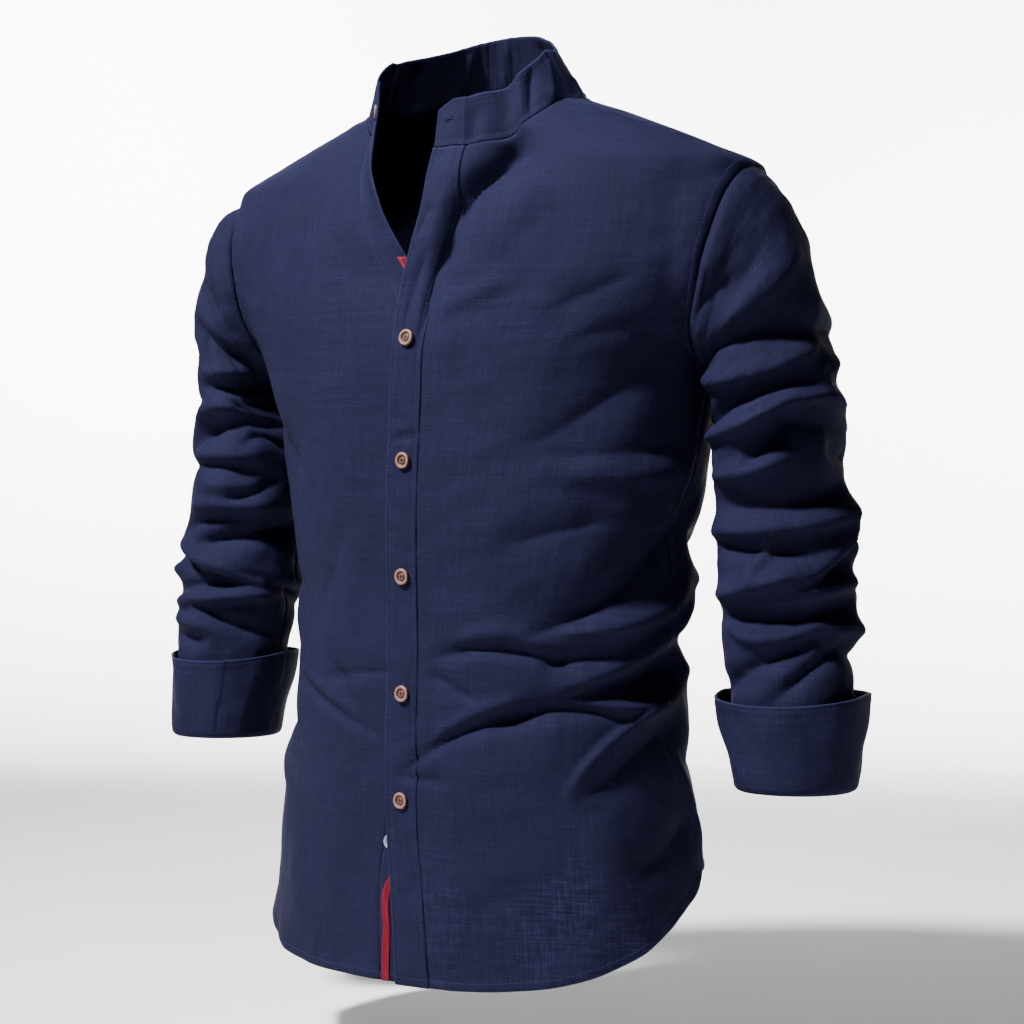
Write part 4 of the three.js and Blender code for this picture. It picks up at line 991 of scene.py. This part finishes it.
RIGHT_FOLDS = table(
    "turn0 z0 turn1 z1 bow out wide0 wide1 steep",
    (58, -132, 94, -163, 0, -2.6, 6, 6, 0),
    (63, -166, 89, -209, 0, -3.0, 6, 6, 0),
    (64, -174, 158, -217, -3, -6.0, 8, 8, 0.4),
    (66, -162, 140, -200, -3, 3.0, 8, 8, 0),
    (110, -176, 131, -197, 0, -2.6, 5, 6, 0),
    (80, -226, 170, -224, -2, -6.5, 6, 7, 0.3),
    (80, -214, 160, -212, 0, 3.0, 7, 7, 0),
    (88, -234, 126, -243, 0, -3.2, 5, 5, 0),
    (132, -236, 168, -240, 0, -3.4, 5, 6, 0),
    (66, -271, 164, -257, 8, -7.5, 13, 10, 0),
    (60, -252, 120, -242, 5, 3.4, 9, 8, 0),
    (120, -274, 166, -280, 8, -3.4, 5, 6, 0),
    (64, -294, 130, -300, 2, -3.8, 6, 6, 0.2),
    (58, -284, 126, -286, 0, 3.0, 7, 7, 0),
    (100, -324, 154, -303, -5, -5.0, 7, 6, 0.2),
    (74, -312, 140, -314, 0, 2.6, 8, 8, 0),
    (48, -349, 127, -342, 5, -4.6, 7, 7, 0),
    (76, -364, 192, -351, 1, -9.5, 7, 9, 0.2),
    (60, -330, 150, -328, 0, 3.6, 8, 8, 0),
    (36, -360, 204, -401, -11, 5.2, 7, 8, 0.4),
    (36, -374, 120, -396, -4, -4.2, 7, 7, 0),
    (120, -388, 200, -412, 0, -6.2, 7, 9, 0),
    (36, -407, 112, -402, 3, -4.4, 6, 6, 0),
    (36, -418, 168, -408, 0, 4.6, 6, 8, 0.2),
    (104, -420, 143, -419, 0, -3.2, 5, 5, 0),
    (74, -419, 156, -444, -4, -5.4, 6, 7, 0.4),
    (40, -432, 100, -440, 0, 3.2, 8, 7, 0),
    (40, -446, 90, -452, 0, -3.6, 8, 7, 0),
    (20, -182, 60, -200, 0, -3.2, 8, 8, 0),
    (4, -236, 62, -240, 0, -3.6, 8, 8, 0),
    (8, -300, 56, -290, 0, -3.8, 8, 8, 0),
    (10, -392, 44, -386, 0, 3.6, 7, 7, 0),
    (250, -200, 332, -154, 0, -6, 9, 14, 0),
    (240, -226, 326, -188, 0, 4, 8, 10, 0.2),
    (236, -258, 332, -238, 0, -6, 8, 12, 0),
    (230, -284, 324, -270, 0, 4.4, 8, 9, 0.3),
    (218, -322, 332, -314, 0, -7, 9, 12, 0),
    (222, -346, 322, -342, 0, 4.4, 7, 9, 0.3),
    (228, -372, 332, -382, 0, -6.5, 10, 10, 0),
    (222, -396, 320, -404, 0, 4, 7, 8, 0.2),
    (218, -424, 322, -430, 0, -6, 9, 11, 0),
    (206, -250, 240, -262, 0, -4, 8, 8, 0),
    (204, -310, 238, -298, 0, -4, 8, 8, 0),
)


def sleeve_section(turn, at, sign, spread=0):
    names = ("out_x", "out_z", "in_x", "in_z", "y", "deep")
    out_x, out_z, in_x, in_z, y, deep = (read(SLEEVE, name, at) for name in names)
    c = power(np.cos(np.radians(turn)), 2 / SLEEVE_SQUARE)
    half_x, half_z = (out_x - in_x) / 2, (out_z - in_z) / 2
    grow = 1 + spread / np.hypot(half_x, half_z)
    x = (out_x + in_x) / 2 + half_x * grow * c
    z = (out_z + in_z) / 2 + half_z * grow * c
    y = y - (deep + spread) * power(np.sin(np.radians(turn)), 2 / SLEEVE_SQUARE)
    if sign < 0:
        x = -x - read(RIGHT_SLEEVE, "x", at) - read(RIGHT_SLEEVE, "outer", at) * (1 + c) / 2
        y = y + read(RIGHT_SLEEVE, "y", at)
        z = z + read(RIGHT_SLEEVE, "z", at)
    return np.stack([x, y, z], -1)


def sleeve_round(angle):
    """Distance round a sleeve, by angle."""
    return angle / 360 * SLEEVE_ROUND


def sleeve_piece(name, sign, folds, seed):
    at, turn = np.meshgrid(np.linspace(0, 1, 151), np.linspace(180, -180, 121), indexing="ij")
    if sign < 0:
        turn = turn[:, ::-1]
    points = sleeve_section(turn, at, sign)
    arm_phi, arm_z = armhole(turn, sign)
    fade = 1 - ease(at / ARMHOLE_EASE)
    points = points + (body(arm_phi, arm_z) - sleeve_section(turn, 0 * at, sign)) * fade[..., None]
    points = fill_armhole(points, turn, at * SLEEVE_LENGTH)
    head = np.minimum(at * SLEEVE_LENGTH / SLEEVE_HEAD["reach"], 1)
    bulge = SLEEVE_HEAD["out"] * 6.75 * head * (1 - head) ** 2
    points[..., 1] -= bulge * np.maximum(0, np.sin(np.radians(turn)))
    height = sleeve_section(turn, at, 1)[..., 2]
    around = turn / 360 * SLEEVE_ROUND
    out = SLEEVE_DEEP * folded(folds, around, height, sleeve_round, SLEEVE_ROUND)
    out *= ease(at / SLEEVE_FADE["top"]) * ease((1 - at) / SLEEVE_FADE["bottom"])
    down = at * SLEEVE_LENGTH
    out += 0.7 * waves(around, down, seed, 26, 80) * ease(at / 0.05)
    out += 0.2 * waves(around, down, seed + 1, 12, 26) * ease(at / 0.03)
    points = raised(points, out)
    near = distances(points)
    relief = -0.5 * np.exp(-((near["north"] / 1.3) ** 2))
    relief += 0.35 * waves(around, 0 * at, seed + 2, 9, 26, 8) * np.exp(-(((near["north"] - 6) / 8) ** 2))
    relief += seam(np.minimum(near["west"], near["east"]), down, seed + 3, 5, 0.3)
    points = raised(points, relief)
    points[:, -1] = points[:, 0]
    made = cloth_piece(name, points, (around, down), WALL, [name])
    sew(*inset(points, "west", 5))
    stitching = add_stitching(name + "_stitching")
    return points


sleeve_piece("sleeve_left", 1, LEFT_FOLDS, 71)
sleeve_piece("sleeve_right", -1, RIGHT_FOLDS, 81)

# Cuffs: two layers with interfacing, turned back over the sleeve's end, stitched near both edges.
CUFF = table(
    "along out up",
    (0, 0, 14),
    (9, 0.4, 5),
    (15, 2.6, 0),
    (20, 5, 3),
    (43, 7, 26),
    (67, 10.5, 50),
    (88, 12, 71),
)
CUFF_WALL = 1.7
CUFF_DIP = 7
CUFF_LEAN = 5
CUFF_FLARE = {1: 5.5, -1: 1}
CUFF_END = {1: (249, 245), -1: (117, 113)}
CUFF_TOP = 71
CUFF_FOLDS = {
    1: table(
        "turn0 up0 turn1 up1 bow out wide0 wide1 steep",
        (150, 60, 120, 10, 0, -2.2, 9, 10, 0),
        (118, 66, 96, 24, 0, 1.6, 9, 9, 0),
        (84, 66, 100, 12, 0, -1.8, 8, 11, 0),
        (60, 60, 44, 14, 0, 1.4, 10, 12, 0),
        (36, 66, 30, 8, 0, -1.8, 8, 10, 0),
        (230, 60, 250, 12, 0, -2.2, 10, 12, 0),
        (290, 60, 276, 12, 0, 1.8, 10, 12, 0),
        (320, 62, 330, 10, 0, -2, 10, 10, 0),
    ),
    -1: table(
        "turn0 up0 turn1 up1 bow out wide0 wide1 steep",
        (70, 60, 78, 10, 0, -1.8, 8, 10, 0),
        (96, 66, 90, 16, 0, 1.4, 8, 9, 0),
        (146, 60, 140, 12, 0, -1.8, 8, 10, 0),
        (40, 60, 52, 14, 0, 1.4, 10, 12, 0),
        (230, 60, 250, 12, 0, -2.2, 10, 12, 0),
        (290, 60, 276, 12, 0, 1.8, 10, 12, 0),
        (330, 62, 336, 10, 0, -2, 10, 10, 0),
    ),
}


def cuff_piece(name, sign, seed):
    along, turn = np.meshgrid(np.linspace(0, 88, 59), np.linspace(180, -180, 181), indexing="ij")
    if sign < 0:
        turn = turn[:, ::-1]
    out, up = read(CUFF, "out", along), read(CUFF, "up", along)
    points = sleeve_section(turn, 1 + 0 * turn, sign, out)
    lifted = ease(up / CUFF_TOP)
    front = np.maximum(0, np.sin(np.radians(turn)))
    points[..., 2] += up - 14 - CUFF_DIP * front * lifted
    points[..., 0] += sign * (CUFF_FLARE[sign] * np.cos(np.radians(turn)) - CUFF_LEAN) * lifted
    points[..., 1] += CUFF_LEAN * lifted
    around = turn / 360 * SLEEVE_ROUND
    outside = ease((along - 18) / 12)
    relief = folded(CUFF_FOLDS[sign], around, up, sleeve_round, SLEEVE_ROUND) * outside
    relief += 0.4 * waves(around, along, seed, 24, 70) * outside
    top_turn, low_turn = CUFF_END[sign]
    past_end = ((turn - mix(low_turn, top_turn, up / CUFF_TOP) + 180) % 360 - 180) / 360 * SLEEVE_ROUND
    relief += (0.8 * ease((past_end + 1.2) / 1.2) * np.exp(-np.maximum(past_end, 0) / 16) - 0.25 * np.exp(
        -(((past_end + 2) / 1.6) ** 2)
    )) * outside
    near = distances(points)
    edge = near["south"]
    relief += (-0.35 * np.exp(-(((edge - 5) / 1.6) ** 2)) - 0.5 * np.exp(-((edge / 1.0) ** 2))) * outside
    points = raised(points, relief)
    points[:, -1] = points[:, 0]
    made = cloth_piece(name, points, (around, along), CUFF_WALL, [name])
    sew(*inset(points, "south", 5.2))
    sew(*inset(points, "south", 64))
    stitching = add_stitching(name + "_stitching")
    return points


cuff_piece("cuff_left", 1, 91)
right_cuff = cuff_piece("cuff_right", -1, 95)

# Tape: a narrow red ribbon sewn down the outside of the right band. It shows at the foot of the
# neck opening and below the last button.
TAPE_WIDTH = 7
TAPE = table("z along", (-120, 0.86), (-150, 0.82), (-200, 0.4), (-602, 0.48), (-620, 0.24), (-720, 0.25))
TAPE_TOP = -133
TAPE_RED = ((0.030, 0.0010, 0.003), (0.105, 0.0030, 0.010), (0.16, 0.0085, 0.020))


def on_cloth(points, row, column):
    """Points and outward directions between the points of a grid."""
    row, column = np.asarray(row, float), np.asarray(column, float)
    i = np.clip(np.floor(row).astype(int), 0, points.shape[0] - 2)
    j = np.clip(np.floor(column).astype(int), 0, points.shape[1] - 2)
    down, across = (row - i)[..., None], (column - j)[..., None]

    def blend(grid):
        upper = mix(grid[i, j], grid[i, j + 1], across)
        return mix(upper, mix(grid[i + 1, j], grid[i + 1, j + 1], across), down)

    return blend(points), unit(blend(outward(points)))


def on_band(band_points, sign, z, along):
    """A place on a front band, from its seam (0) to its free edge (1)."""
    row = np.interp(-z, -band_points[:, BAND_COLUMNS * FINE // 2, 2], np.arange(len(band_points)))
    return on_cloth(band_points, row, (1 - along if sign > 0 else along) * BAND_COLUMNS * FINE)


def tape_piece():
    down = np.linspace(TAPE_TOP, right_band[-1, 0, 2], 240)
    z, across = np.meshgrid(down, np.linspace(-0.5, 0.5, 9), indexing="ij")
    wide = read(RIGHT_BAND, "free", z) - read(RIGHT_BAND, "seam", z)
    sway = 0.5 * waves(z, 0 * z, 103, 24, 60, 6)
    places, faces = on_band(right_band, -1, z, read(TAPE, "along", z) + (across * TAPE_WIDTH + sway) / wide)
    lift = 1.2 + 0.35 * waves(z, across * 20, 104, 10, 24, 8) - 0.5 * np.abs(across)
    points = places + faces * lift[..., None]
    ribbon = woven("red_ribbon", *TAPE_RED, 0.35, 0.55)
    cloth_piece("tape", points, (across * TAPE_WIDTH, -z), 0.5, ["tape"], ribbon)
    for side in ("west", "east"):
        sew(*inset(points, side, 1.0), 2.4)
    add_stitching("tape_stitching", 1.6, woven("red_thread", *TAPE_RED, 0.3, 0.5))


tape_piece()

# Label: a plain grey woven label, sewn flat to the inside of the yoke below the back of the neck.
LABEL_HALF_TURN = 34
LABEL_TOP = 2
LABEL_DROP = 24
LABEL_GREY = ((0.10, 0.10, 0.11), (0.20, 0.205, 0.22), (0.33, 0.335, 0.35))


def label_piece():
    down, across = np.meshgrid(np.linspace(0, 1, 25), np.linspace(-1, 1, 61), indexing="ij")
    phi = 180 + LABEL_HALF_TURN * across
    z = neck_back_z(phi) - mix(LABEL_TOP, LABEL_DROP, down)
    points = body(phi, z, -WALL - 0.6 - 0.15 * (1 - down**2))
    points = raised(points, -0.12 * waves(across * 60, down * 22, 111, 12, 30, 8))
    grey = woven("grey_label", *LABEL_GREY, 0.22, 0.7)
    made = cloth_piece("label", points, (across * 60, down * 22), 0.5, ["label"], grey)
    for side in ("north", "west", "east", "south"):
        line, face = inset(points, side, 1.2)
        sew(line - face * 0.5, -face, 2.2)
    stitching = add_stitching("label_stitching", 1.5, grey)


label_piece()

# Buttons: turned discs of pale wood with a dark burnt groove, four holes and crossed threads. Five
# close the left band and one the collar. The seventh, of pale moulded stuff, is sewn under the hem.
BUTTON = table(
    "at high",
    (0, 0.76),
    (0.34, 0.8),
    (0.42, 0.6),
    (0.52, 0.55),
    (0.6, 0.66),
    (0.68, 0.96),
    (0.82, 1),
    (0.94, 0.88),
    (1, 0.5),
)
BUTTON_RINGS = 40
BUTTON_SIDES = 96
HOLE_OUT = 0.2
HOLE_WIDE = 0.085
FRONT_BUTTONS = ((-196, 0.5), (-289, 0.43), (-377, 0.41), (-466, 0.43), (-547, 0.46))
BUTTON_SIZE = {"radius": 6.4, "thick": 2.6}
WOOD_RINGS = (
    (0.0, (0.130, 0.058, 0.040)),
    (0.34, (0.135, 0.060, 0.042)),
    (0.42, (0.016, 0.0065, 0.0045)),
    (0.58, (0.018, 0.0075, 0.005)),
    (0.68, (0.175, 0.082, 0.060)),
    (0.92, (0.20, 0.096, 0.072)),
    (1.0, (0.050, 0.022, 0.015)),
)
PALE_RINGS = (
    (0.0, (0.16, 0.155, 0.25)),
    (0.45, (0.10, 0.095, 0.17)),
    (0.7, (0.19, 0.185, 0.30)),
    (1.0, (0.15, 0.145, 0.26)),
)


def turned(name, rings, roughness):
    """Turned stuff, coloured in rings from the middle, with a faint straight grain."""
    stuff = Finish(name, Specular_IOR_Level=0.3)
    from_middle = stuff.node("SeparateXYZ", None, {0: stuff.node("UVMap", {"uv_map": "turned"})})
    along = stuff.node("Mapping", None, {0: stuff.node("UVMap", {"uv_map": "grain"}), "Scale": (900, 160, 1)})
    sockets = {"Vector": along, "Scale": 1.0, "Detail": 3.0}
    grain = stuff.node("TexNoise", {"noise_dimensions": "2D"}, sockets) - 0.5
    stuff.set("Base Color", stuff.node("ValToRGB", {"stops": rings}, {0: from_middle + grain * 0.09}))
    stuff.set("Roughness", roughness + 0.2 * grain)
    stuff.set("Normal", stuff.node("Bump", None, {"Strength": 0.3, "Distance": 0.0001, "Height": grain}))
    return stuff.material


wood_finish = turned("turned_wood", WOOD_RINGS, 0.5)
pale_finish = turned("pale_moulding", PALE_RINGS, 0.35)


def button_piece(name, place, face, radius, thick, finish):
    """A button whose flat back lies on the cloth at a place, with its crossed threads."""
    up = unit(np.array([0, 0, 1]) - face * face[2])
    right = np.cross(up, face)
    turn = np.linspace(0, 2 * np.pi, BUTTON_SIDES, endpoint=False)
    share, angle = np.meshgrid(np.linspace(0, 1, BUTTON_RINGS), turn, indexing="ij")
    x, y = share * np.cos(angle), share * np.sin(angle)
    high = read(BUTTON, "high", share)
    for way in range(4):
        hole = np.hypot(x - HOLE_OUT * np.cos(way * np.pi / 2), y - HOLE_OUT * np.sin(way * np.pi / 2))
        high = high - 0.6 * ease((HOLE_WIDE + 0.02 - hole) / 0.03)
    edge = np.ones(BUTTON_SIDES)
    shares = np.array([*share, 1.0 * edge, 0.92 * edge, 0.0 * edge])
    highs = np.array([*high, 0.3 * edge, 0.0 * edge, 0.0 * edge])
    flat_x, flat_y = shares * np.cos(turn) * radius, shares * np.sin(turn) * radius
    verts = place + face * 0.5 + highs[..., None] * thick * face
    verts = verts + flat_x[..., None] * right + flat_y[..., None] * up
    index = np.arange(verts.shape[0] * BUTTON_SIDES).reshape(verts.shape[0], BUTTON_SIDES)
    around = np.roll(index, -1, axis=1)
    quads = np.stack([index[:-1], index[1:], around[1:], around[:-1]], -1).reshape(-1, 4)
    mesh = bpy.data.meshes.new(name)
    mesh.from_pydata((verts.reshape(-1, 3) * MM).tolist(), [], quads.tolist())
    maps = (("turned", shares, 0 * shares), ("grain", flat_x * MM, flat_y * MM))
    for layer, first, second in maps:
        flat = np.stack([first, second], -1).reshape(-1, 2)[quads.reshape(-1)]
        mesh.uv_layers.new(name=layer).data.foreach_set("uv", flat.reshape(-1))
    add_object(name + "_shaped", mesh, finish, [name])
    middle = place + face * (0.5 + 0.8 * thick)
    out = radius * HOLE_OUT
    for way in (right, up):
        sew(np.array([middle - way * out, middle + way * out]), np.array([face, face]), 2 * out)
    add_stitching(name + "_thread", 2 * out + 0.6)


for number, (button_z, button_along) in enumerate(FRONT_BUTTONS, 1):
    spot, facing = on_band(left_band, 1, button_z, button_along)
    radius, thick = BUTTON_SIZE["radius"], BUTTON_SIZE["thick"]
    button_piece(f"button_{number}", spot, facing, radius, thick, wood_finish)
spot, facing = on_cloth(collar, 16 * 0.55, 0.975 * (len(neck_ring) - 1))
button_piece("button_collar", spot, facing, 5.5, BUTTON_SIZE["thick"], wood_finish)
HEM_BUTTON = {"z": -580, "x": -5.5, "radius": 5.5, "thick": 1.5}
hem_seam, hem_free = read(RIGHT_BAND, "seam", HEM_BUTTON["z"]), read(RIGHT_BAND, "free", HEM_BUTTON["z"])
spot, facing = on_band(right_band, -1, HEM_BUTTON["z"], (HEM_BUTTON["x"] - hem_seam) / (hem_free - hem_seam))
radius, thick = HEM_BUTTON["radius"], HEM_BUTTON["thick"]
button_piece("button_hem", spot + facing * 1.1, facing, radius, thick, pale_finish)

# Buttonholes: slits edged with close stitches. They run down the left band, under its buttons, and
# across the left end of the collar. A few pale stitches are sewn on the right cuff.
HOLE_LENGTH = 15
HOLE_PITCH = 0.75


def buttonhole(middle, face, way):
    """Keeps the stitches on either side of a slit whose middle and direction are given."""
    side = np.cross(face, way)
    for run in np.arange(-HOLE_LENGTH / 2, HOLE_LENGTH / 2 + 0.1, HOLE_PITCH):
        for off in (-1, 1):
            start = middle + way * run + side * off * 0.25
            sew(np.array([start, start + side * off * 1.3]), np.array([face, face]), 1.3)
    for end in (-1, 1):
        for shift in (-0.35, 0.35):
            start = middle + way * (end * (HOLE_LENGTH / 2 + 0.6) + shift) - side * 1.6
            sew(np.array([start, start + side * 3.2]), np.array([face, face]), 3.2)


for button_z, button_along in FRONT_BUTTONS:
    spot, facing = on_band(left_band, 1, button_z, button_along)
    upper, _ = on_band(left_band, 1, button_z + 5, button_along)
    buttonhole(spot + facing * 0.05, facing, unit(upper - spot))
spot, facing = on_cloth(collar, 16 * 0.4, 0.028 * (len(neck_ring) - 1))
ahead, _ = on_cloth(collar, 16 * 0.4, 0.04 * (len(neck_ring) - 1))
buttonhole(spot + facing * 0.05, facing, unit(ahead - spot))
add_stitching("buttonhole_stitching", 1.5)
CUFF_MARK = {"row": 32, "column": 12}
PALE_THREAD = ((0.14, 0.14, 0.15), (0.3, 0.3, 0.31), (0.45, 0.45, 0.46))
spot, facing = on_cloth(right_cuff, CUFF_MARK["row"], CUFF_MARK["column"])
upward = unit(on_cloth(right_cuff, CUFF_MARK["row"] + 4, CUFF_MARK["column"])[0] - spot)
beside = np.cross(upward, facing)
for step_up, step_beside in ((-2.6, -0.7), (2.2, -1.9), (2.4, 1.7)):
    tip = spot + facing * 0.2 + upward * step_up + beside * step_beside
    sew(np.array([spot + facing * 0.2, tip]), np.array([facing, facing]), np.linalg.norm(tip - spot))
add_stitching("cuff_mark", 2.6, woven("pale_thread", *PALE_THREAD, 0.3, 0.6))

# The room: a pale floor that curves up behind the shirt, a soft key light from the upper left, a
# weak one into the neck, and two on the backdrop.
FLOOR_Z = -0.75
floor_finish = Finish("pale_floor", Base_Color=(0.8, 0.8, 0.8, 1), Roughness=0.9)
sheet = bpy.data.meshes.new("floor")
reach, rise, bend = 6.0, 5.0, 1.5
profile = [(-reach, 0.0), (2.0, 0.0)]
profile += [(2.0 + bend * np.sin(a), bend - bend * np.cos(a)) for a in np.linspace(0, np.pi / 2, 12)[1:]]
profile += [(2.0 + bend, rise)]
floor_verts = [(x, y, FLOOR_Z + up) for y, up in profile for x in (-reach, reach)]
floor_faces = [(2 * k, 2 * k + 1, 2 * k + 3, 2 * k + 2) for k in range(len(profile) - 1)]
sheet.from_pydata(floor_verts, [], floor_faces)
for polygon in sheet.polygons:
    polygon.use_smooth = True
floor = bpy.data.objects.new("floor", sheet)
floor.rotation_euler = (0, 0, np.radians(30))
sheet.materials.append(floor_finish.material)
bpy.context.scene.collection.objects.link(floor)


def add_light(name, place, aim, size, power_watts, spread):
    lamp = bpy.data.lights.new(name, "AREA")
    lamp.shape = "DISK"
    lamp.size = size
    lamp.energy = power_watts
    lamp.spread = np.radians(spread)
    made = bpy.data.objects.new(name, lamp)
    made.location = place
    made.rotation_euler = (Vector(aim) - Vector(place)).to_track_quat("-Z", "Y").to_euler()
    bpy.context.scene.collection.objects.link(made)


add_light("key", (-1.05, -2.1, 2.5), (0, 0, -0.3), 0.5, 60, 60)
add_light("neck", (0.75, -1.0, 1.15), (0.0, 0.06, 0.02), 0.25, 0.5, 24)
add_light("backdrop_left", (-1.9, 0.9, 1.6), (-2.4, 3.0, 0.0), 1.2, 190, 95)
add_light("backdrop_right", (1.0, 2.0, 1.6), (-0.6, 3.6, 0.0), 1.2, 190, 95)
world = bpy.data.worlds.new("room")
world.use_nodes = True
world.node_tree.nodes["Background"].inputs["Color"].default_value = (1, 1, 1, 1)
world.node_tree.nodes["Background"].inputs["Strength"].default_value = 0.05
bpy.context.scene.world = world

camera = bpy.data.cameras.new("camera")
camera.lens = 83.5
camera.sensor_width = 36
camera.shift_x = 0.0293
camera.shift_y = -0.0117
viewer = bpy.data.objects.new("camera", camera)
viewer.location = (0.95, -1.6454, -0.319)
viewer.rotation_euler = Vector((-0.5, 0.8660254, 0)).to_track_quat("-Z", "Y").to_euler()
bpy.context.scene.collection.objects.link(viewer)
bpy.context.scene.camera = viewer
